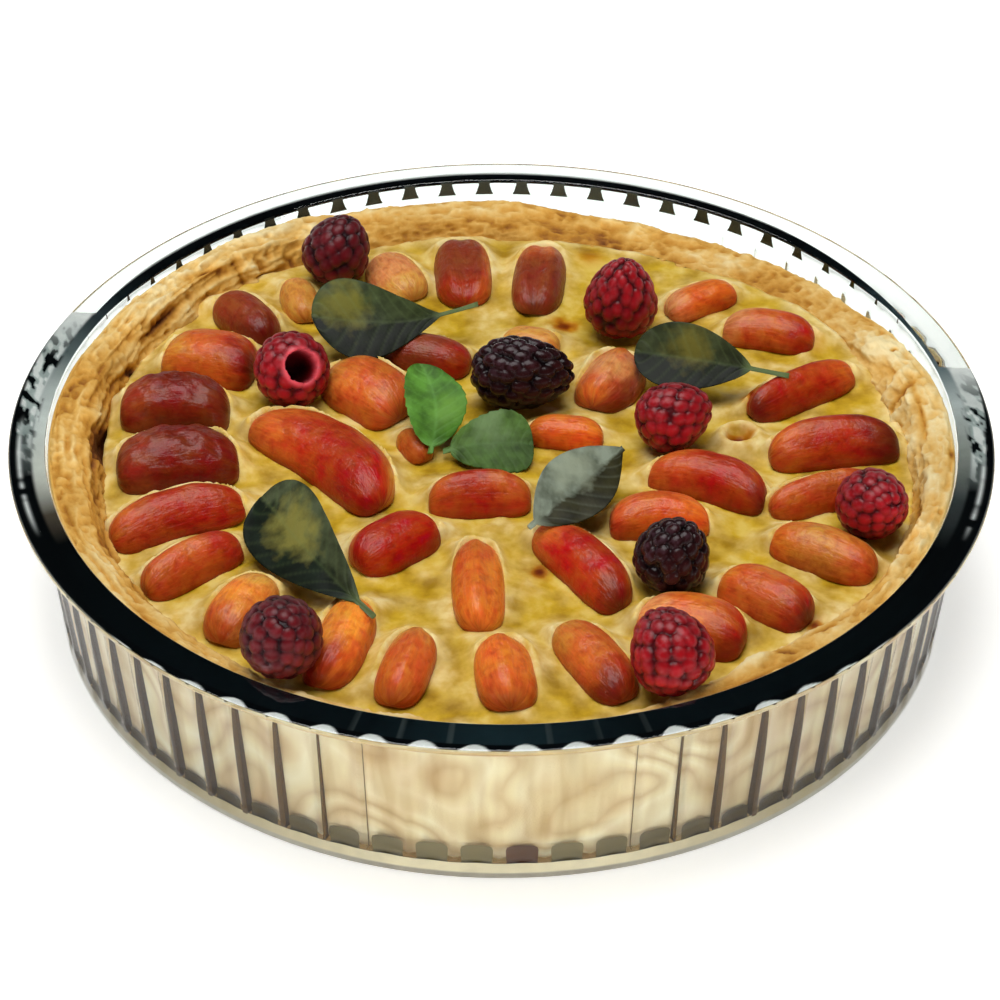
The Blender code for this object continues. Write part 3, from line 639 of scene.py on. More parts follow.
def makeCrust(pastry):
    # a profile carried round the axis, softened, with the relief added along its normal
    turn, clock = roundTheClock(crust["columns"])
    crest, inner = crustLine(clock)
    folds = crumpleLine(clock) * crust["crumple"]
    crest = crest + folds
    reach, glassFloor = crust["reach"], dish["floor"]
    shoulder = crest - crust["shoulder"]
    edge = innerWall(crest) + reach
    slope = edge - crust["inset"] - inner
    # the profile from the middle of the underside over the crest to the middle inside: radius
    # and height of each knot, one for all columns or one for each
    knots = [
        (0.0, glassFloor - reach),
        (dish["innerFloor"] - crust["floorInset"], glassFloor - reach),
        (dish["innerFloor"] - crust["cornerInset"] + reach, glassFloor + crust["cornerRise"]),
        (innerWall(crust["wallFoot"]) + reach, crust["wallFoot"]),
        (innerWall(shoulder) + reach, shoulder),
        (edge - crust["edgeInset"], crest - crust["edgeBelow"]),
        (edge - crust["inset"], crest),
        (inner + slope * crust["slopeAt"] - folds, crest - crust["slopeBelow"]),
        (inner, crust["custardLevel"] + crust["overCustard"]),
        (inner - crust["innerInset"], crust["innerLevel"]),
        (0.0, crust["middleLevel"]),
    ]
    knots = np.array([[np.broadcast_to(value, clock.shape) for value in knot] for knot in knots])
    share = np.concatenate([k + np.arange(run) / run for k, run in enumerate(crust["runs"] + (1,))])
    at = np.minimum(share.astype(int), len(knots) - 2)
    t = (share - at)[:, None, None]
    radius, height = np.moveaxis(knots[at] * (1 - t) + knots[at + 1] * t, 1, 0)
    share = share[:, None]
    # soften the knots of the crest: passes of a running mean along the profile
    first, last = crust["softRows"]
    for _ in range(crust["softPasses"]):
        for line in (radius, height):
            beside = line[first - 1:last - 1] + line[first + 1:last + 1]
            line[first:last] = (beside + 2 * line[first:last]) / 4
    steps = np.hypot(np.diff(radius, axis=0), np.diff(height, axis=0))
    down = np.concatenate((np.zeros((1, len(clock))), np.cumsum(steps, axis=0)))
    down = down - down[crust["crestRow"]]
    part = np.broadcast_to((clock / 360) % 1, down.shape)

    def aroundRim(name, depth):
        seed, cells, cell, octaves = crust["noises"][name]
        return cloud(seed, part * cells, depth, cell=(1, cell), wrap=cells, octaves=octaves)

    # relief in millimetres: noise stretched along the rim for strands, across it for folds
    left, back = plateau(crust["left"], clock), plateau(crust["back"], clock)
    lumpy = 1 + crust["lumpsLeft"] * left + crust["lumpsBack"] * back
    cells = crust["swayCells"]
    sway = crust["sway"] * cloud(31, part * cells, wrap=cells)
    sway = sway + crust["bends"] * np.abs(aroundRim("bends", down))
    relief = (
        crust["strands"] * left * aroundRim("strands", down + sway)
        + crust["wrinkles"] * back * aroundRim("wrinkles", down)
        + crust["lumps"] * lumpy * aroundRim("lumps", down)
        + crust["flakes"] * aroundRim("flakes", down)
        - crust["knobs"] * np.abs(aroundRim("knobs", down))
    )
    rise, browningAndShade = foldField(clock, radius, crustFolds)
    shown = plateau(crust["reliefKnots"], share)
    relief = (relief + rise) * shown
    tangentR, tangentZ = np.gradient(radius, axis=0), np.gradient(height, axis=0)
    size = np.maximum(np.hypot(tangentR, tangentZ), 1e-6)
    radius = radius + relief * tangentZ / size
    height = height - relief * tangentR / size
    radius = np.minimum(radius, innerWall(height) + reach)
    points, faces = closedSkin(roundGrid(radius, height, turn))
    inward = smoothStep(*crust["inwardKnots"], share)
    forms = {
        "patches": aroundRim("patches", down), "inward": inward, "golden": plateau(crust["golden"], clock),
        "behind": sum(smoothStep(*marks, clock) for marks in crust["behind"]), "left": left,
        "innerLeft": inward * left, "right": plateau(crust["right"], clock), "relief": relief * shown,
        "folds": browningAndShade, "everywhere": 1.0,
    }
    # how brown each point is, together with the painted light and painted shade of the shares above
    toastAndShade = sum(toastAndShadeShares[name] * form for name, form in forms.items())
    onWall = np.broadcast_to(plateau(crust["wallKnots"], share), radius.shape)
    fields = {"wall": onPoints(onWall), "toastAndShade": onPoints(np.clip(toastAndShade, 0, 1))}
    piece = addPiece("baked_pastry", points, faces, pastry, fields)
    finishPiece(piece, "pastry_crust")


def pastryMaterial():
    # shortcrust: cream where it is pale, golden on its folds and brown where it caught the heat, with painted
    # light where light falls on it and painted shade in its crevices, holes and hollows and on the left inner
    # slope, and with a crumb of 1 mm; the side against the glass is pale with tan whorls from the rolled
    # dough, about 10 mm apart, and faint upright marks
    made, shader, add = newMaterial("bakedShortcrust")
    place = add("TexCoord")["Object"]
    toastAndShade, wall = (add("Attribute", attribute_name=name)["Fac"] for name in ("toastAndShade", "wall"))
    crumb = add("TexNoise", {"Vector": place, "Scale": 900.0, "Detail": 3.0})["Fac"]
    crumb = add("MapRange", {"Value": crumb, "To Min": -0.09, "To Max": 0.09})["Result"]
    level = add("Math", {0: toastAndShade, 1: crumb}, operation="ADD")[0]
    top = add("ValToRGB", {0: level}, (
        (0.0, "F0DCA6"), (0.25, "E4BE74"), (0.45, "D6A450"), (0.65, "BE8632"), (0.85, "945C24"),
        (1.0, "5E3418"),
    ))["Color"]
    flatter = add("Mapping", {"Vector": place, "Scale": (1.0, 1.0, 1.5)})["Vector"]
    slow = add("TexNoise", {"Vector": flatter, "Scale": 20.0, "Detail": 1.0})["Fac"]
    rings = add("Math", {0: slow, 1: 9.0}, operation="MULTIPLY")[0]
    rings = add("Math", {0: rings, 1: 0.5}, operation="PINGPONG")[0]
    side = add("ValToRGB", {0: rings}, ((0.0, "D8BC8C"), (0.25, "EEDCB0"), (0.6, "FCF0D0")))["Color"]
    upright = add("Mapping", {"Vector": place, "Scale": (1.0, 1.0, 0.14)})["Vector"]
    # blotches and upright marks that darken the side: place, scale, share and stops
    for at, scale, share, stops in (
        (place, 60.0, 0.5, ((0.3, "E6C8AC"), (0.55, "FFFFFF"))),
        (upright, 150.0, 0.6, ((0.35, "D6C09A"), (0.6, "FFFFFF"))),
    ):
        marks = add("TexNoise", {"Vector": at, "Scale": scale, "Detail": 2.0})["Fac"]
        marks = add("ValToRGB", {0: marks}, stops)["Color"]
        side = add("Mix", {0: share, 6: side, 7: marks}, data_type="RGBA", blend_type="MULTIPLY")[2]
    grit = add("TexNoise", {"Vector": place, "Scale": 1400.0, "Detail": 3.0})["Fac"]
    setInputs(shader, {
        "Base Color": add("Mix", {0: wall, 6: top, 7: side}, data_type="RGBA")[2],
        "Roughness": 0.7, "Specular IOR Level": 0.15,
        "Normal": add("Bump", {"Height": grit, "Strength": 0.35, "Distance": 0.0004})["Normal"],
    })
    return made


makeCrust(pastryMaterial())
print("crust made")

# Apricot wedges: x, y, heading, length, width, height, bend, lean as in the solid, then the
# tones at the start, middle and end, the tone of the left edge, and the form of the top:
# r round, k with a sharp ridge, h hollow between two edges, w wrinkled
fruitTones = {
    "a": "DA9A48", "p": "DC8E58", "O": "F08C34", "o": "DC6C28", "t": "CC5E28", "g": "CC8236",
    "b": "8E3820", "r": "AA2C14", "R": "B01C12", "d": "741C10", "n": "5A1A0E",
}
apricots = (
    (-33, 87, -63, 24, 15, 6.5, 0, 0.1, "ppaa", "r"),
    (-12.5, 90, -86, 34, 16.5, 7.5, 0, 0.1, "bbrt", "h"),
    (11.5, 86.5, -96, 35, 15, 7.5, 0, -0.1, "tbbb", "h"),
    (61, 75, 30, 24, 12, 6.5, 1, 0.0, "poop", "r"),
    (80.5, 56, -12, 28, 13, 7.5, 2, 0.2, "ptra", "r"),
    (88.5, 27.5, 34, 38, 12, 8.0, 1, 0.2, "rrtt", "k"),
    (95.5, -2, 8, 38, 16, 9.5, 3, 0.2, "trdg", "k"),
    (91.5, -23.5, 18, 34, 12, 7.5, 2, 0.1, "ttrt", "k"),
    (88.5, -49.5, -29, 31, 14, 8.0, 1, 0.2, "ogto", "r"),
    (71, -70, -38, 28, 15, 8.5, 1, 0.2, "otro", "r"),
    (50.5, -82.5, -20, 30, 17, 9.0, 2, 0.2, "poro", "r"),
    (24.3, -94.5, -62, 33, 14, 7.5, 1, 0.1, "gtrt", "r"),
    (1.5, -100, -84, 26, 15, 8.5, 0, -0.1, "ooto", "k"),
    (-25, -98, -104, 27, 13, 8.0, 0, 0.1, "gttt", "k"),
    (-43, -88.5, -106, 33, 14, 8.5, 1, 0.0, "OOro", "r"),
    (-69, -74.5, -114, 26, 15, 8.0, -1, 0.0, "aOta", "r"),
    (-84, -56.5, 38, 31, 13, 8.0, 2, 0.2, "ttrt", "k"),
    (-90, -36, 23, 39, 16, 8.5, 3, 0.2, "trrt", "k"),
    (-92, -12, 10, 35, 21, 11.0, 2, 0.1, "bddb", "w"),
    (-95, 13.5, 0, 32, 19, 12.0, 2, 0.1, "bddb", "w"),
    (-87, 39, -14, 29, 20, 10.5, 2, 0.1, "gtrt", "r"),
    (-78, 62, -55, 27, 14, 8.5, 1, 0.0, "bbdb", "r"),
    (-62, 74, -76, 21, 11, 6.0, 0, 0.0, "paga", "r"),
    (-22, 44, -13, 26, 14, 7.5, 1, 0.0, "bbrb", "r"),
    (-40, 24, -45, 29, 20, 9.5, 2, 0.1, "gttg", "r"),
    (-52.5, -9.5, -46, 54, 20, 10.0, 6, 0.1, "trRg", "r"),
    (-29, -46.5, 42, 28, 15, 8.5, 1, 0.1, "RRRt", "r"),
    (-6, -63.5, -88, 37, 13.5, 8.0, 0, -0.1, "tooO", "k"),
    (21.5, -55.5, -56, 39, 14, 8.0, 2, 0.1, "tRrt", "r"),
    (-6, -26, 2, 29, 13, 8.5, 2, 0.2, "trtg", "k"),
    (18.5, 5, -4, 22, 11, 6.5, 1, 0.0, "oooo", "r"),
    (31.5, 31.5, -113, 26, 17, 9.0, 1, 0.0, "tptb", "k"),
    (8.5, 51, -10, 18, 12, 6.5, 1, 0.0, "aaap", "r"),
    (58, -19.5, -24, 35, 14, 9.0, 4, 0.2, "trrt", "r"),
    (44, -36.5, 4, 28, 14, 8.5, 3, 0.1, "ttoo", "r"),
    (-25, 0.5, -63, 14, 8, 5.0, 0, 0.0, "gttg", "r"),
)
# burnt spots and dark tips: wedge, x, y, radius
burntSpots = (
    (1, -12.5, 105.5, 2.8), (5, 74.5, 16.5, 4.0), (6, 112.5, 0.5, 5.5), (9, 82.5, -79.0, 4.0),
    (14, -40.5, -78.0, 1.1), (18, -110.0, -14.0, 5.0), (19, -80.0, 11.0, 4.0), (33, 74.0, -27.5, 4.5),
    (11, 28.5, -107.0, 4.0), (2, 9.5, 70.0, 3.0), (28, 31.0, -71.0, 4.5), (20, -74.0, 33.5, 4.0),
)
wedge = {
    "rows": 56, "over": 26, "under": 10, "bluntness": 2.8, "gap": 0.45, "endRise": 0.12, "archPower": 0.8,
    # wider and higher than the solid, because the photo's fruit is sunk into risen custard
    "fuller": 1.09,
    # a ridge k: the fall of its shoulders and the crest on top; a hollow h; shares of the height
    "shoulderAt": -0.15, "shoulderWidth": 0.45, "shoulderFall": 0.16,
    "crestAt": 0.15, "crestWidth": 0.14, "crestRise": 0.10, "hollowWidth": 0.42, "hollowDepth": 0.24,
    # relief and its cells, along the wedge and over it
    "lumps": 0.35, "lumpCell": 6.0, "wrinkles": 1.1, "wrinkleCell": (3.6, 2.6), "fibres": 0.10,
    "fibreCell": (9.0, 0.7), "girth": 0.6,
    # where the tones of start, end and left edge begin and are full, on -1 to 1
    "startTone": (-0.15, -0.85), "endTone": (0.1, 0.8), "edgeTone": (0.45, 0.95), "edgeShare": 0.8,
    "wander": 0.35, "wanderCell": (7.0, 4.0),
    # painted shade: the side of each wedge turned from the light is tinted deeper red
    "shadeX": 0.4, "shadeY": -0.92, "shadeTone": (0.1, 0.9), "shadeTint": "ECC4B0",
    "burnt": 0.75, "spotRagged": 0.5, "spotCell": 2.5, "footTone": (0.0, 0.5),
}
# the custard's level: three crossing waves, as in the solid
waves = {
    "height": 0.5, "lengthX": 19, "lengthY": 23, "phase": 0.7,
    "slantLength": 15, "slantPhase": 2.1, "slantShare": 0.7,
    "skewLength": 17, "skew": 1.4, "skewShare": 0.5,
}


def custardHeight(x, y):
    # the custard's calm surface: a level plus the three waves
    crossed = np.sin(x / waves["lengthX"] + waves["phase"]) * np.cos(y / waves["lengthY"])
    slanted = waves["slantShare"] * np.sin((x + y) / waves["slantLength"] + waves["slantPhase"])
    skewed = waves["skewShare"] * np.cos((x - waves["skew"] * y) / waves["skewLength"])
    return crust["custardLevel"] + waves["height"] * (crossed + slanted + skewed)


def wedgeTop(side, form):
    # the section of a wedge's top, 0 to 1, over the way across it, -1 to 1
    top = np.sqrt(np.maximum(1 - side**2, 0)) ** wedge["archPower"]
    if form == "k":
        away = bell(side - wedge["shoulderAt"], wedge["shoulderWidth"])
        crest = np.exp(-np.abs(side - wedge["crestAt"]) / wedge["crestWidth"])
        top = (top * (1 - wedge["shoulderFall"] * (1 - away)) + wedge["crestRise"] * crest) * (top > 0)
    if form == "h":
        top = top * (1 - wedge["hollowDepth"] * bell(side, wedge["hollowWidth"]))
    return top


def makeWedge(index, row, fruit):
    # along the wedge a superellipse sets the swell of its width and height, and across it the
    # section runs over the top from the left foot to the right one and back underneath
    x, y, heading, length, width, height, bend, lean, toneCodes, form = row
    width, height = width * wedge["fuller"], height * wedge["fuller"]
    over, under = wedge["over"], wedge["under"]
    share = np.sin(np.linspace(-math.pi / 2, math.pi / 2, wedge["rows"]))[:, None]
    swell = (1 - np.abs(share) ** wedge["bluntness"]) ** (1 / wedge["bluntness"])
    arch = np.concatenate((np.linspace(0, math.pi, over), np.full(under, math.pi)))[None]
    side = np.cos(arch)
    side[0, over:] = np.linspace(-1, 1, under + 2)[1:-1]
    top = wedgeTop(side, form)
    top[0, over:] = 0
    rise = height * swell * top
    localX = np.broadcast_to(share * length / 2, rise.shape)
    localY = width / 2 * swell * side + bend * (1 - share**2) + lean * rise
    shown = swell * np.sqrt(np.sin(arch))
    shown[:, over:] = 0
    acrossMm = np.broadcast_to(width * wedge["girth"] * arch, rise.shape)
    relief = cloud(100 + index, localX, localY, cell=wedge["lumpCell"], octaves=2) * wedge["lumps"]
    if form == "w":
        wrinkles = cloud(200 + index, localX, localY, cell=wedge["wrinkleCell"], octaves=2)
        relief = relief + wrinkles * wedge["wrinkles"]
    relief = relief + cloud(300 + index, localX, acrossMm, cell=wedge["fibreCell"]) * wedge["fibres"]
    rise = np.maximum(rise + relief * shown, 0)
    c, s = math.cos(math.radians(heading)), math.sin(math.radians(heading))
    worldX, worldY = localX * c - localY * s + x, localX * s + localY * c + y
    base = wedge["gap"] + height * wedge["endRise"] * (1 - swell)
    grid = np.stack((worldX, worldY, custardHeight(worldX, worldY) + base + rise), axis=2)
    points, faces = closedSkin(grid)
    # tones run from the start through the middle to the end, with the edge's along the left
    start, middle, end, edge = colours(*(fruitTones[code] for code in toneCodes))
    burntTone, shadeTint = colours(fruitTones["n"], wedge["shadeTint"])
    wander = wedge["wander"] * cloud(400 + index, localX, acrossMm, cell=wedge["wanderCell"], octaves=2)
    along = (share + wander)[..., None]
    tone = middle + (start - middle) * smoothStep(*wedge["startTone"], along)
    tone = tone + (end - tone) * smoothStep(*wedge["endTone"], along)
    atEdge = wedge["edgeShare"] * smoothStep(*wedge["edgeTone"], side + wander)
    tone = tone + (edge - tone) * atEdge[..., None]
    # painted shade: the side of the wedge turned from the light is tinted deeper red
    turnedAway = side * (-s * wedge["shadeX"] + c * wedge["shadeY"])
    tone = tone * (1 + (shadeTint - 1) * smoothStep(*wedge["shadeTone"], turnedAway)[..., None])
    for spotX, spotY, size in (spot[1:] for spot in burntSpots if spot[0] == index):
        ragged = cloud(500 + index, localX, acrossMm, cell=wedge["spotCell"])
        ragged = size * (1 + wedge["spotRagged"] * ragged)
        burnt = wedge["burnt"] * bell(np.hypot(worldX - spotX, worldY - spotY), ragged)
        tone = tone + (burntTone - tone) * burnt[..., None]
    # the fibres' own coordinates, in metres, with each wedge in a place of its own
    grain = np.stack((localX, acrossMm, np.full(localX.shape, index * 7.0)), axis=2) * 0.001
    foot = 1 - smoothStep(*wedge["footTone"], shown)
    fields = {"tone": onPoints(tone), "grain": onPoints(grain), "foot": onPoints(foot)}
    piece = addPiece(f"apricot_wedge_{index:02d}", points, faces, fruit, fields)
    finishPiece(piece, f"apricot_{index:02d}")


def apricotMaterial():
    # baked apricot: wet, slightly see-through flesh whose fibres, 1 mm apart, run along the
    # wedge, mottled over 2 mm and dark at the foot, where juice caramelised
    made, shader, add = newMaterial("bakedApricotFlesh")
    grain = add("Attribute", attribute_name="grain")["Vector"]
    drawn = add("Mapping", {"Vector": grain, "Scale": (0.14, 1.1, 1.0)})["Vector"]
    fibres = add("TexNoise", {"Vector": drawn, "Scale": 1000.0, "Detail": 2.0})["Fac"]
    blotches = add("TexNoise", {"Vector": grain, "Scale": 190.0, "Detail": 3.0})["Fac"]
    fine = add("TexNoise", {"Vector": grain, "Scale": 420.0, "Detail": 3.0})["Fac"]
    mottle = add("ValToRGB", {0: fine}, ((0.3, "C07058"), (0.45, "F0CCB8"), (0.56, "FFFFFF")))["Color"]
    bright = add("MapRange", {
        "Value": fibres, "From Min": 0.3, "From Max": 0.7, "To Min": 0.93, "To Max": 1.09})["Result"]
    hue = add("MapRange", {
        "Value": blotches, "From Min": 0.3, "From Max": 0.7, "To Min": 0.494, "To Max": 0.516})["Result"]
    tone = add("Attribute", attribute_name="tone")["Color"]
    colour = add("HueSaturation", {"Color": tone, "Value": bright, "Hue": hue})["Color"]
    colour = add("Mix", {0: 0.5, 6: colour, 7: mottle}, data_type="RGBA", blend_type="MULTIPLY")[2]
    foot = add("Attribute", attribute_name="foot")["Fac"]
    foot = add("Math", {0: foot, 1: 0.4}, operation="MULTIPLY")[0]
    relief = add("Math", {0: fibres, 1: 0.35, 2: fine}, operation="MULTIPLY_ADD")[0]
    setInputs(shader, {
        "Base Color": add("Mix", {0: foot, 6: colour, 7: "7A3416"}, data_type="RGBA")[2],
        "Roughness": 0.32, "Specular IOR Level": 0.28, "Subsurface Weight": 0.22,
        "Subsurface Radius": (1.0, 0.4, 0.14), "Subsurface Scale": 0.002,
        "Normal": add("Bump", {"Height": relief, "Strength": 0.45, "Distance": 0.0009})["Normal"],
    })
    return made


fruit = apricotMaterial()
for index, row in enumerate(apricots):
    makeWedge(index, row, fruit)
print("apricots made")

# Custard: set round the fruit, with a raised lip against every wedge, most behind it
custard = {
    "columns": 640, "rings": 126, "overlap": 0.8, "bottom": 9.9, "bottomInset": 2.6,
    # the lip: share of the wedge's height, widths outside and under the wedge, its share in
    # front, and how far a side faces back or front where the lip is full or least
    "lip": 0.7, "lipWidth": 4.2, "lipInside": 4.5, "lipFront": 0.08, "lipSides": (-0.35, 0.45),
    "uneven": 0.2, "unevenCell": 9.0, "crustLip": 0.3, "crustLipWidth": 2.0,
    "swells": 0.8, "swellCell": 7.0, "pores": 0.18, "poreCell": 1.6,
    # x, y, radius, height, browning of the middle
    "puffs": ((27.5, 101.6, 6.5, 1.6, 0.3), (94.5, 52.7, 5.5, 1.4, 0.2)), "puffCore": 1.6,
    # a round swelling with a dip: x, y, radius, height, then widths and depth
    "ring": (69.0, 7.0, 5.4, 3.0), "ringWidth": 2.1, "ringPale": 2.4, "dip": 0.8, "dipWidth": 2.0,
    "spots": ((10.7, -54.0, 2.2), (19.0, 65.0, 3.0), (69.0, 7.0, 2.8), (84.0, -78.0, 1.6),
              (73.5, 23.5, 2.2), (50.0, 15.0, 1.5), (56.0, -90.0, 1.5)),
    "spotRagged": 0.4,
    # how pale: at the fruit, at the crust, and on swells, painted light; and, less, in the hollows between
    # them, painted shade
    "nearPower": 0.75, "crustPale": 0.5, "swellPale": (0.0, 0.7), "highPale": 0.5,
    "hollowDark": (0.0, -0.4), "lowDark": 0.2,
}


def fruitLip(x, y):
    # the custard stands up against every wedge, most behind it: share * height of the wedge
    # * exp(-distance / width). The wedge's outline is a superellipse, the distance is taken
    # from its implicit value and the side from its normal
    blunt, front = wedge["bluntness"], custard["lipFront"]
    rise, near = np.zeros(x.shape), np.zeros(x.shape)
    for px, py, heading, length, wide, high, bend, *_ in apricots:
        c, s = math.cos(math.radians(heading)), math.sin(math.radians(heading))
        halfLength, halfWidth = length / 2, wide * wedge["fuller"] / 2
        localX, localY = (x - px) * c + (y - py) * s, (y - py) * c - (x - px) * s
        share = localX / halfLength
        across = (localY - bend * (1 - np.minimum(share**2, 1))) / halfWidth
        value = (np.abs(share) ** blunt + np.abs(across) ** blunt) ** (1 / blunt)
        away = (value - 1) * np.minimum(np.hypot(localX, localY) / np.maximum(value, 0.05), halfLength)
        normalX = np.sign(share) * np.abs(share) ** (blunt - 1) / halfLength
        normalY = np.sign(across) * np.abs(across) ** (blunt - 1) / halfWidth
        behind = (normalX * s + normalY * c) / np.maximum(np.hypot(normalX, normalY), 1e-9)
        fade = np.exp(-np.abs(away) / np.where(away > 0, custard["lipWidth"], custard["lipInside"]))
        fade = fade * (front + (1 - front) * smoothStep(*custard["lipSides"], behind))
        rise = np.maximum(rise, custard["lip"] * high * fade)
        near = np.maximum(near, fade)
    return rise, near


def makeCustard(filling):
    # the top is rings that shrink from the pastry to the middle, over a flat underside
    turn, clock = roundTheClock(custard["columns"])
    inner = crustLine(clock)[1]
    radius = np.linspace(1, 0, custard["rings"])[:, None] * (inner + custard["overlap"])
    x, y = radius * np.cos(turn), radius * np.sin(turn)
    rise, near = fruitLip(x, y)
    atCrust = np.exp(-np.maximum(inner - radius, 0) / custard["crustLipWidth"])
    uneven = 1 + custard["uneven"] * cloud(52, x, y, cell=custard["unevenCell"], octaves=2)
    swell = cloud(53, x, y, cell=custard["swellCell"], octaves=2)
    pores = (1 - near) * cloud(54, x, y, cell=custard["poreCell"], octaves=2)
    height = (custardHeight(x, y) + rise * uneven + custard["crustLip"] * atCrust
              + custard["swells"] * swell + custard["pores"] * pores)
    brown = np.zeros(x.shape)
    for px, py, size, high, middle in custard["puffs"]:
        away = np.hypot(x - px, y - py) / size
        height += high * bell(away, 1)
        brown += middle * bell(away * custard["puffCore"], 1)
    px, py, size, high = custard["ring"]
    away = np.hypot(x - px, y - py)
    height += high * bell(away - size, custard["ringWidth"])
    height -= custard["dip"] * bell(away, custard["dipWidth"])
    ragged = 1 + custard["spotRagged"] * cloud(57, x, y, cell=custard["poreCell"])
    for spotX, spotY, radiusOf in custard["spots"]:
        brown += bell(np.hypot(x - spotX, y - spotY), radiusOf * ragged)
    # two more rows for the underside: its middle and its edge
    bottom = custard["bottom"]
    under = roundGrid(np.stack((0 * inner, inner - custard["bottomInset"])), bottom, turn)
    grid = np.concatenate((under, np.stack((x, y, height), axis=2)))
    grid[-1] = grid[-1].mean(axis=0)
    points, faces = closedSkin(grid)
    pale = near ** custard["nearPower"] + custard["crustPale"] * atCrust
    pale = pale + bell(away - size, custard["ringPale"])
    # painted light and shade: paler on the swells, darker in the hollows between them
    pale = pale + custard["highPale"] * smoothStep(*custard["swellPale"], swell)
    pale = pale - custard["lowDark"] * smoothStep(*custard["hollowDark"], swell)
    fields = {name: onPoints(np.concatenate((np.zeros((2, len(turn))), np.clip(values, 0, 1))))
              for name, values in (("near", pale), ("browned", brown))}
    piece = addPiece("set_custard", points, faces, filling, fields)
    finishPiece(piece, "custard_filling")


def custardMaterial():
    # baked egg custard: yellow, mottled over 9 mm, paler where it rises at the fruit, paler on its swells and
    # darker in its hollows as painted light and shade, and browned in spots; soft, with a fine skin that
    # shines only a little
    made, shader, add = newMaterial("bakedCustard")
    place = add("TexCoord")["Object"]
    near, browned = (add("Attribute", attribute_name=name)["Fac"] for name in ("near", "browned"))
    coarse, fine, skin = (
        add("TexNoise", {"Vector": place, "Scale": scale, "Detail": detail})["Fac"]
        for scale, detail in ((110.0, 4.0), (220.0, 3.0), (500.0, 3.0))
    )
    mottled = add("ValToRGB", {0: coarse}, (
        (0.34, "A47E16"), (0.45, "C09A22"), (0.55, "D4AE2E"), (0.67, "E4C65E")))["Color"]
    lifted = add("ValToRGB", {0: fine}, ((0.35, "E2BC5C"), (0.62, "F8E2A2")))["Color"]
    share = add("Math", {0: near, 1: 0.95}, operation="MULTIPLY")[0]
    colour = add("Mix", {0: share, 6: mottled, 7: lifted}, data_type="RGBA")[2]
    baked = add("ValToRGB", {0: browned}, (
        (0.0, "FFFFFF"), (0.35, "E8B878"), (0.8, "A85A20"), (1.0, "80401C")))["Color"]
    setInputs(shader, {
        "Base Color": add("Mix", {0: 1.0, 6: colour, 7: baked}, data_type="RGBA", blend_type="MULTIPLY")[2],
        "Roughness": 0.45, "Specular IOR Level": 0.12, "Subsurface Weight": 0.1,
        "Subsurface Radius": (1.0, 0.7, 0.3), "Subsurface Scale": 0.0015,
        "Normal": add("Bump", {"Height": skin, "Strength": 0.3, "Distance": 0.0005})["Normal"],
    })
    return made


makeCustard(custardMaterial())
print("custard made")

# Berries: node, x, y, diameter, length, turn and tilt of the axis, hollow, drupelets, slot
berries = (
    ("raspberry_back_left", -51, 88.5, 21, 23, 30, 30, 0, 82, "deep_raspberry"),
    ("raspberry_hollow", -61.5, 25.5, 23, 20, -60, 52, 1, 90, "raspberry"),
    ("dark_berry_middle", 6, 23.5, 22, 31, 0, 90, 0, 95, "dark_berry"),
    ("raspberry_upright", 36, 62, 22, 26, 0, 4, 0, 115, "raspberry"),
    ("raspberry_centre_right", 49.5, 4, 20, 23, 10, 70, 0, 90, "raspberry"),
    ("raspberry_right", 103, -37.5, 20, 22, -60, 60, 0, 95, "raspberry"),
    ("dark_berry_right", 46.5, -61, 21, 22, 0, 20, 0, 67, "dark_berry"),
    ("raspberry_front_right", 44, -103, 22, 24, 120, 55, 0, 102, "raspberry"),
    ("raspberry_front_left", -56.5, -100.5, 22, 23, -70, 40, 0, 84, "deep_raspberry"),
)
berry = {
    "columns": 128, "bump": 0.10, "darkBump": 0.15, "taper": 0.16, "uprightTaper": 0.26,
    # rows from the tip to the top: from, to and number of each run of polar angles; the hollow
    # berry has them closer together at its mouth
    "runs": ((math.pi, 0, 116),), "hollowRuns": ((math.pi, 0.80, 70), (0.79, 0.5, 32), (0.48, 0, 14)),
    "hollowAngle": 25.0, "hollowDepth": 0.62, "cupTone": (0.1, 0.75), "lipAt": 1.1, "lipWidth": 0.16,
    # drupelets: how far they stray from their spiral, and their reach in spacings; and the light's direction,
    # for the bloom's painted sheen
    "jitter": 0.045, "capReach": 0.64, "light": (-0.45, 0.25, 0.86),
}


def turned(turn, tilt):
    # the matrix of a tilt about Y followed by a turn about Z
    a, b = math.radians(turn), math.radians(tilt)
    spin = np.array([[math.cos(a), -math.sin(a), 0], [math.sin(a), math.cos(a), 0], [0, 0, 1]])
    lean = np.array([[math.cos(b), 0, math.sin(b)], [0, 1, 0], [-math.sin(b), 0, math.cos(b)]])
    return spin @ lean


def lowestPoint(node):
    # the height of the underside of a node's solid, in millimetres
    return min(corner[2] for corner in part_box(node)) * 1000


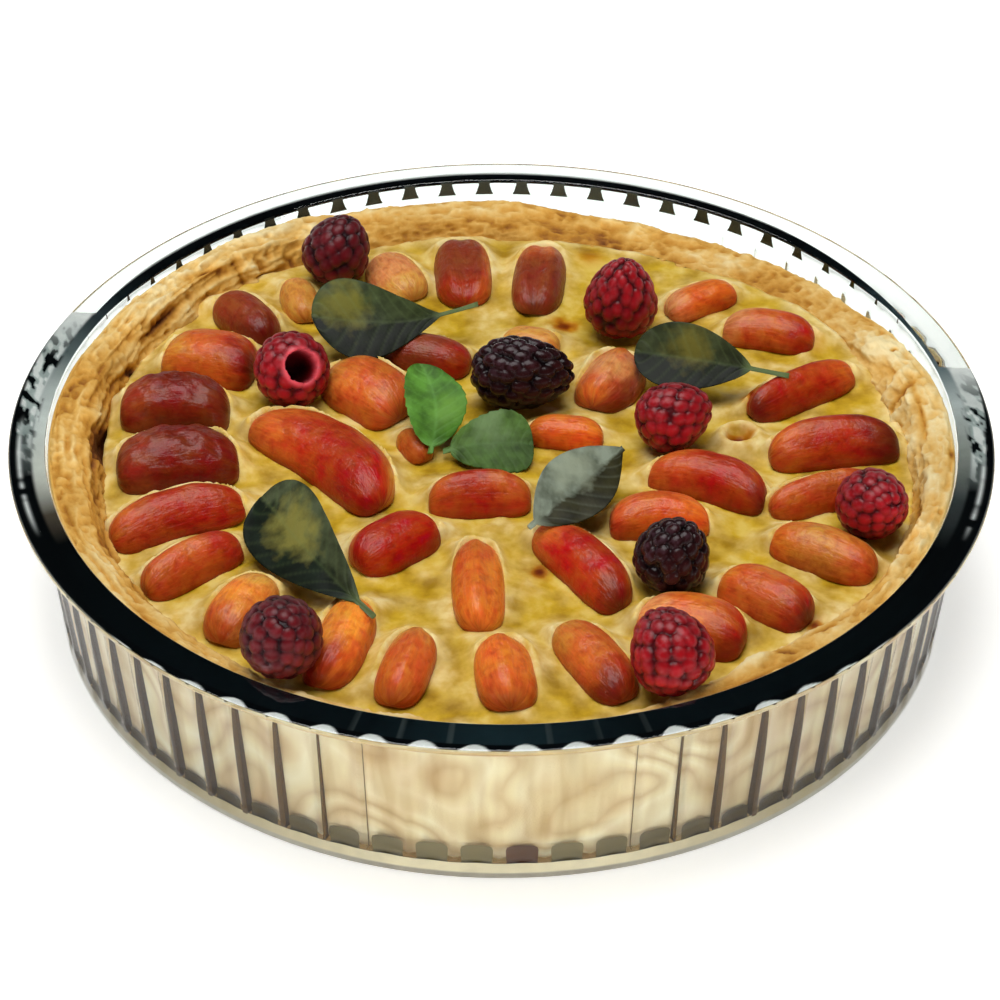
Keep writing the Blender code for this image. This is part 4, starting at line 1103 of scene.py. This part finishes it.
def makeBerry(index, row, skin):
    # a ball with a rounded cap for every drupelet, stretched, tapered and laid on its side
    node, x, y, diameter, length, turn, tilt, hollow, count, slotName = row
    runs = berry["hollowRuns"] if hollow else berry["runs"]
    polar = np.concatenate([np.linspace(*run) for run in runs])[:, None]
    unit = roundGrid(np.sin(polar), np.cos(polar), roundTheClock(berry["columns"])[0])
    # drupelets at the points of a golden spiral, each a cap sqrt(1 - (distance / reach)^2)
    draw = np.random.default_rng(500 + index)
    k = np.arange(count)
    high = 1 - (2 * k + 1) / count
    seeds = roundGrid(np.sqrt(1 - high**2), high, k * math.pi * (3 - math.sqrt(5)))
    seeds = seeds + draw.normal(0, berry["jitter"], seeds.shape)
    seeds = seeds / np.linalg.norm(seeds, axis=1)[:, None]
    near = unit @ seeds.T
    away = np.sqrt(np.maximum(2 - 2 * near.max(axis=2), 0))
    reach = berry["capReach"] * math.sqrt(4 * math.pi / count)
    cap = np.sqrt(np.maximum(1 - (away / reach) ** 2, 0))
    own = draw.uniform(0, 1, count)[near.argmax(axis=2)]
    bump = berry["darkBump"] if slotName == "dark_berry" else berry["bump"]
    points = unit * (1 - bump + bump * cap)[..., None]
    cup, lip = np.zeros(cap.shape), np.zeros(cap.shape)
    if hollow:
        # the top is pushed in to the mirror image of a ball over the mouth's width
        reach = np.hypot(points[..., 0], points[..., 1]) / math.sin(math.radians(berry["hollowAngle"]))
        inside = (reach < 1) & (points[..., 2] > 0)
        deep = np.sqrt(np.maximum(1 - reach**2, 0))
        points[..., 2] -= np.where(inside, 2 * berry["hollowDepth"] * deep, 0)
        # painted shade deep in the cup
        cup = np.where(inside, smoothStep(*berry["cupTone"], deep), 0)
        lip = bell(reach - berry["lipAt"], berry["lipWidth"]) * (points[..., 2] > 0) * (1 - cup)
    else:
        taper = berry["uprightTaper"] if node == "raspberry_upright" else berry["taper"]
        points[..., :2] *= (1 - taper * points[..., 2:])
    points = points * [diameter / 2, diameter / 2, length / 2] @ turned(turn, tilt).T
    # how far each point faces the light, where the bloom is painted as a sheen
    facing = unit @ turned(turn, tilt).T @ np.array(berry["light"])
    points, faces = closedSkin(points + [x, y, lowestPoint(node) - points[..., 2].min()])
    fields = {"cap": cap, "own": own, "facing": facing, "cup": cup, "lip": lip}
    fields = {name: onPoints(values) for name, values in fields.items()}
    piece = addPiece("fresh_" + node, points, faces, skin, fields)
    finishPiece(piece, node)


def berryMaterial(name, crevice, skin, bright, bloom, bloomShare, scatter, roughness):
    # a fresh berry's thin skin: moist, with painted shade in the gaps between its drupelets, mottled over 4
    # mm, and with a waxy bloom in specks of 1.4 mm, painted as a sheen only where it faces the light
    made, shader, add = newMaterial(name)
    place = add("TexCoord")["Object"]
    cap, own, facing, cup, lip = (
        add("Attribute", attribute_name=field)["Fac"] for field in ("cap", "own", "facing", "cup", "lip"))
    coarse, fine, pores = (add("TexNoise", {"Vector": place, "Scale": scale, "Detail": 2.0})["Fac"]
                           for scale in (260.0, 700.0, 1600.0))
    cap = add("Math", {0: cap, 1: 1.6}, operation="POWER")[0]
    specks = add("MapRange", {"Value": fine, "From Min": 0.42, "From Max": 0.62})["Result"]
    litBloom = add("MapRange", {"Value": facing, "From Min": 0.15, "From Max": 1.0})["Result"]
    for factor in (specks, cap, bloomShare):
        litBloom = add("Math", {0: litBloom, 1: factor}, operation="MULTIPLY")[0]
    mottle = add("Math", {0: coarse, 1: own}, operation="MULTIPLY")[0]
    edge = add("Math", {0: lip, 1: 0.7}, operation="MULTIPLY")[0]
    colour = add("Mix", {0: mottle, 6: skin, 7: bright}, data_type="RGBA")[2]
    colour = add("Mix", {0: cap, 6: crevice, 7: colour}, data_type="RGBA")[2]
    # the bloom's painted sheen, the mouth's edge of the hollow berry and the painted shade in the depth of
    # its cup
    for share, tone in ((litBloom, bloom), (edge, "D0505A"), (cup, "3A0608")):
        colour = add("Mix", {0: share, 6: colour, 7: tone}, data_type="RGBA")[2]
    setInputs(shader, {
        "Base Color": colour, "Roughness": roughness, "Specular IOR Level": 0.25,
        "Normal": add("Bump", {"Height": pores, "Strength": 0.15, "Distance": 0.0003})["Normal"],
    })
    if scatter:
        setInputs(shader, {"Subsurface Weight": scatter, "Subsurface Radius": (1.0, 0.15, 0.12),
                           "Subsurface Scale": 0.002})
    return made


# crevices in painted shade, skin, its brighter parts, the bloom's painted sheen and its share, light let in,
# roughness
berrySkins = {
    "raspberry": ("ripeRaspberry", "3A0408", "7A0A10", "9C1820", "B4606A", 0.26, 0.12, 0.34),
    "deep_raspberry": ("deepRaspberry", "1A0408", "480A10", "6A1418", "784850", 0.28, 0.08, 0.38),
    "dark_berry": ("darkBerry", "080203", "1C0808", "301010", "5C4450", 0.3, 0.0, 0.26),
}
skins = {slotName: berryMaterial(*values) for slotName, values in berrySkins.items()}
for index, row in enumerate(berries):
    makeBerry(index, row, skins[row[-1]])
print("berries made")

# Leaves: node, x, y, heading, pitch, roll, length, width, widest, stem, fold, curl, ends, sway
# as in the solid, then the number of teeth and the slot
leaves = (
    ("bay_leaf_back", -31.6, 52.7, 194, 4, -34, 40, 26.5, 0.71, 11, 1.8, 2.0, 0.52, 4.6, 0, "bay_leaf"),
    ("bay_leaf_right", 61.5, 29.3, 169, 3, -41, 35, 20.5, 0.63, 11, 2.0, 2.0, 0.45, 0.0, 0, "bay_leaf"),
    ("bay_leaf_left", -51.3, -61, 124, 3, -38, 52, 24, 0.69, 6, 1.8, 3.0, 0.43, 0.8, 0, "bay_leaf"),
    ("bay_leaf_centre", 21.5, -31, 50, 5, 28, 39.5, 20, 0.44, 2, 2.0, 1.6, 0.94, 0.0, 0, "bay_leaf"),
    ("mint_leaf_large", -21.7, 6, 97, 30, 7, 26.5, 18, 0.51, 2, 1.2, 1.5, 0.46, -2.8, 9, "mint_leaf"),
    ("mint_leaf_small", -3.9, -4, 3, 4, 28, 24, 20.3, 0.66, 2, 1.2, 1.5, 0.32, 0.8, 8, "mint_leaf"),
)
leaf = {
    "rows": 96, "columns": 49, "stemRows": 8, "thickness": 0.7, "edge": 0.25, "stemWidth": 1.6,
    "toothDepth": 0.05, "toothBase": 0.96, "foldPower": 1.4, "wave": 0.6, "waves": 9.0,
    "ripple": 0.25, "rippleCell": 5.0,
    # veins: depth, how many pairs, how they slant, width in spacings, where the blade is wide
    # enough for them, and their share of the tone beside the midrib and its half width
    "veins": 0.12, "veinPairs": 9, "veinSlant": 1.6, "veinWidth": 0.10, "veinsFrom": 2,
    "veinTone": 0.6, "midrib": 0.5,
}


def makeLeaf(index, row, green):
    # a blade on a grid along and across it: its middle line sways, its sides fold up and its
    # ends curl down. The half width is a sine whose crest is moved to the widest place by one
    # power and whose ends are made slender or blunt by another
    node, x, y, heading, pitch, roll, length, width = row[:8]
    widest, stem, fold, curl, ends, sway, teeth, slotName = row[8:]
    rows, columns, stemRows = leaf["rows"], leaf["columns"], leaf["stemRows"]
    # the rows lie closer together at both ends
    blade = (1 - np.cos(np.linspace(0, math.pi, rows - stemRows))) / 2
    along = np.concatenate((np.linspace(0, stem, stemRows, endpoint=False), stem + blade * length))
    along = along[:, None] / (stem + length)
    blade = np.concatenate((np.zeros(stemRows), blade))[:, None]
    half = np.clip(np.sin(math.pi * blade ** (math.log(0.5) / math.log(widest))), 0, 1)
    half = width / 2 * half**ends
    if teeth:
        half = half * (leaf["toothBase"] + leaf["toothDepth"] * (1 - (blade * teeth) % 1))
    half = np.maximum(half, leaf["stemWidth"] / 2)
    side = np.linspace(-1, 1, columns)[None]
    localX = np.broadcast_to((along - 0.5) * (length + stem), (rows, columns))
    localY = half * side + sway * np.sin(math.pi * along)
    wave = leaf["wave"] * np.sin(along * leaf["waves"]) * side**3
    rise = fold * np.abs(side) ** leaf["foldPower"] * (half / half.max()) - curl * (2 * along - 1) ** 2
    veinPhase = (blade * leaf["veinPairs"] - np.abs(side) * leaf["veinSlant"]) % 1
    veins = bell(veinPhase - 0.5, leaf["veinWidth"]) * (half > leaf["veinsFrom"])
    ripple = leaf["ripple"] * cloud(600 + index, localX, localY, cell=leaf["rippleCell"])
    top = np.stack((localX, localY, rise + wave + ripple - leaf["veins"] * veins), axis=2)
    thick = leaf["edge"] + (leaf["thickness"] - leaf["edge"]) * (1 - side**4)
    under = top - np.stack(np.broadcast_arrays(0, 0, thick + 0 * along), axis=2)
    # the upper and the lower skin, and a strip round their border
    faces = np.array(gridFaces(rows, columns, False))
    number = np.arange(rows * columns).reshape(rows, columns)
    border = np.concatenate((number[:, 0], number[-1, 1:], number[-2::-1, -1], number[0, -2:0:-1]))
    following = np.roll(border, -1)
    rim = np.stack((border, border + number.size, following + number.size, following), axis=1)
    allFaces = np.concatenate((faces[:, ::-1], faces + number.size, rim)).tolist()
    points = np.concatenate((top.reshape(-1, 3), under.reshape(-1, 3)))
    r = math.radians(roll)
    lean = np.array([[1, 0, 0], [0, math.cos(r), -math.sin(r)], [0, math.sin(r), math.cos(r)]])
    points = points @ (turned(heading, -pitch) @ lean).T
    points = points + [x, y, lowestPoint(node) - points[:, 2].min()]
    # the material's own coordinates: way along the blade, 3 at its tip, and across it, 1 at
    # its edge
    place = np.stack(np.broadcast_arrays(3 * blade, side, index), axis=2).reshape(-1, 3)
    lines = np.maximum(leaf["veinTone"] * veins, bell(half * side, leaf["midrib"])).ravel()
    fields = {"blade": np.concatenate((place, place)), "veins": np.concatenate((lines, lines))}
    piece = addPiece("fresh_" + node, points, allFaces, green, fields)
    finishPiece(piece, node)


def leafMaterial(name, oneHalf, otherHalf, patch, patchAt, vein, gloss):
    # a fresh leaf's waxy skin: a tone for each side of the midrib, one half painted lit with a grey sheen and
    # the other painted in shade, as the folded blade turns them to and from the light; mottled over 5 mm,
    # with a paler patch, fine veins and a pale stem and foot
    made, shader, add = newMaterial(name)
    place = add("TexCoord")["Object"]
    blade = add("Attribute", attribute_name="blade")["Vector"]
    veins = add("Attribute", attribute_name="veins")["Fac"]
    split = add("SeparateXYZ", {0: blade})
    rough, mottle, fine = (add("TexNoise", {"Vector": place, "Scale": scale, "Detail": detail})["Fac"]
                           for scale, detail in ((260.0, 3.0), (190.0, 3.0), (900.0, 2.0)))
    rough = add("Math", {0: rough, 1: 0.5}, operation="SUBTRACT")[0]
    across = add("Math", {0: split["Y"], 1: rough}, operation="ADD")[0]
    across = add("MapRange", {"Value": across, "From Min": -0.14, "From Max": 0.14})["Result"]
    # painted light and shade: one half of the blade lit, the other shaded
    colour = add("Mix", {0: across, 6: oneHalf, 7: otherHalf}, data_type="RGBA")[2]
    mottle = add("ValToRGB", {0: mottle}, ((0.35, "A8A8A0"), (0.65, "FFFFFF")))["Color"]
    colour = add("Mix", {0: 1.0, 6: colour, 7: mottle}, data_type="RGBA", blend_type="MULTIPLY")[2]
    # distance on the blade from the middle of the patch
    flat = add("CombineXYZ", {0: split["X"], 1: split["Y"]})[0]
    away = add("VectorMath", {0: flat, 1: patchAt}, operation="DISTANCE")["Value"]
    away = add("Math", {0: away, 1: rough}, operation="ADD")[0]
    away = add("MapRange", {"Value": away, "From Min": 0.8, "From Max": 0.25})["Result"]
    foot = add("MapRange", {"Value": split["X"], "From Min": 0.3, "From Max": 0.0})["Result"]
    for form, strength, tone in ((away, 0.7, patch), (veins, 0.18, vein), (foot, 0.8, vein)):
        share = add("Math", {0: form, 1: strength}, operation="MULTIPLY")[0]
        colour = add("Mix", {0: share, 6: colour, 7: tone}, data_type="RGBA")[2]
    setInputs(shader, {
        "Base Color": colour, "Roughness": gloss, "Specular IOR Level": 0.18,
        "Normal": add("Bump", {"Height": fine, "Strength": 0.25, "Distance": 0.0003})["Normal"],
    })
    return made


# name, the two halves, one painted lit and one painted in shade, the patch and its middle, veins, roughness
leafSkins = {
    "bay_leaf_back": ("bayLeafBack", "3A4426", "121A08", "6A6420", (2.3, -0.35, 0.0), "6A7A4C", 0.5),
    "bay_leaf_right": ("bayLeafRight", "343A22", "0E1604", "5E561E", (1.6, -0.3, 0.0), "5E6E44", 0.5),
    "bay_leaf_left": ("bayLeafLeft", "404830", "101C10", "7A7434", (1.9, -0.1, 0.0), "5E6E44", 0.5),
    "bay_leaf_centre": ("bayLeafCentre", "2E2C12", "7E8878", "8C947E", (1.6, 0.5, 0.0), "8A9480", 0.5),
    "mint_leaf_large": ("mintLeafLarge", "4C7C28", "54862E", "628E34", (1.2, -0.4, 0.0), "78B05C", 0.55),
    "mint_leaf_small": ("mintLeafSmall", "507230", "5A7C38", "6C8656", (1.5, 0.6, 0.0), "6E9458", 0.55),
}
for index, row in enumerate(leaves):
    makeLeaf(index, row, leafMaterial(*leafSkins[row[0]]))
print("leaves made")

# Stage, in metres: pale floor, soft studio light and the photograph's camera
stage = {
    "floor": 3.0, "floorLevel": -0.0002, "floorColour": "FAFAF8", "floorGlow": 0.45, "floorRoughness": 0.6,
    # a white wall up to a little above the horizon, and the dark room over it
    "room": ((0.12, "FFFFFF"), (0.22, "1A1C1F")), "roomLight": 1.0,
    # softboxes: place, width, height, power; they aim at the middle of the tart. Mirrored in
    # glass and fruit the front ones would lie as a grey veil, so only the top one shows
    "lights": {
        "topLight": ((-0.12, 0.15, 1.5), 1.2, 1.2, 22.0, True),
        "frontLeft": ((-1.1, -1.3, 0.28), 1.4, 0.5, 24.0, False),
        "frontRight": ((1.1, -1.3, 0.28), 1.4, 0.5, 24.0, False),
    },
}
camera = {"distance": 0.88, "elevation": 36.24, "aimHeight": 0.0553, "lens": 110.8, "sensor": 36.0,
          "roll": 0.3, "shiftX": -0.0017, "shiftY": -0.0805}


def makeStage():
    size, level = stage["floor"], stage["floorLevel"]
    mesh = bpy.data.meshes.new("table_top")
    corners = [(x * size, y * size, level) for x, y in ((-1, -1), (1, -1), (1, 1), (-1, 1))]
    mesh.from_pydata(corners, [], [(0, 1, 2, 3)])
    # matt white paint, with a little light of its own so that its shadows stay soft
    made, shader, _ = newMaterial("paintedTable")
    setInputs(shader, {
        "Base Color": stage["floorColour"], "Emission Color": stage["floorColour"],
        "Emission Strength": stage["floorGlow"], "Roughness": stage["floorRoughness"],
    })
    mesh.materials.append(made)
    table = bpy.data.objects.new("table_top", mesh)
    scene.collection.objects.link(table)
    world = bpy.data.worlds.new("studio")
    world.use_nodes = True
    tree = world.node_tree
    up = addNode(tree, "SeparateXYZ", {0: addNode(tree, "TexCoord")["Generated"]})["Z"]
    room = addNode(tree, "ValToRGB", {0: up}, stage["room"])["Color"]
    setInputs(tree.nodes["Background"], {"Color": room, "Strength": stage["roomLight"]})
    scene.world = world
    for name, (place, wide, tall, power, mirrored) in stage["lights"].items():
        lamp = bpy.data.lights.new(name, "AREA")
        lamp.shape = "RECTANGLE"
        lamp.size, lamp.size_y, lamp.energy = wide, tall, power
        box = bpy.data.objects.new(name, lamp)
        box.location = place
        box.rotation_euler = Vector(place).to_track_quat("Z", "Y").to_euler()
        box.visible_glossy = mirrored
        scene.collection.objects.link(box)


def makeCamera():
    rise = math.radians(camera["elevation"])
    lens = bpy.data.cameras.new("camera")
    lens.lens, lens.sensor_width = camera["lens"], camera["sensor"]
    lens.shift_x, lens.shift_y = camera["shiftX"], camera["shiftY"]
    eye = bpy.data.objects.new("camera", lens)
    eye.location = (0, -camera["distance"] * math.cos(rise),
                    camera["aimHeight"] + camera["distance"] * math.sin(rise))
    eye.rotation_mode = "ZYX"
    eye.rotation_euler = (math.pi / 2 - rise, 0, math.radians(camera["roll"]))
    scene.collection.objects.link(eye)
    scene.camera = eye


makeStage()
makeCamera()
print("stage made")
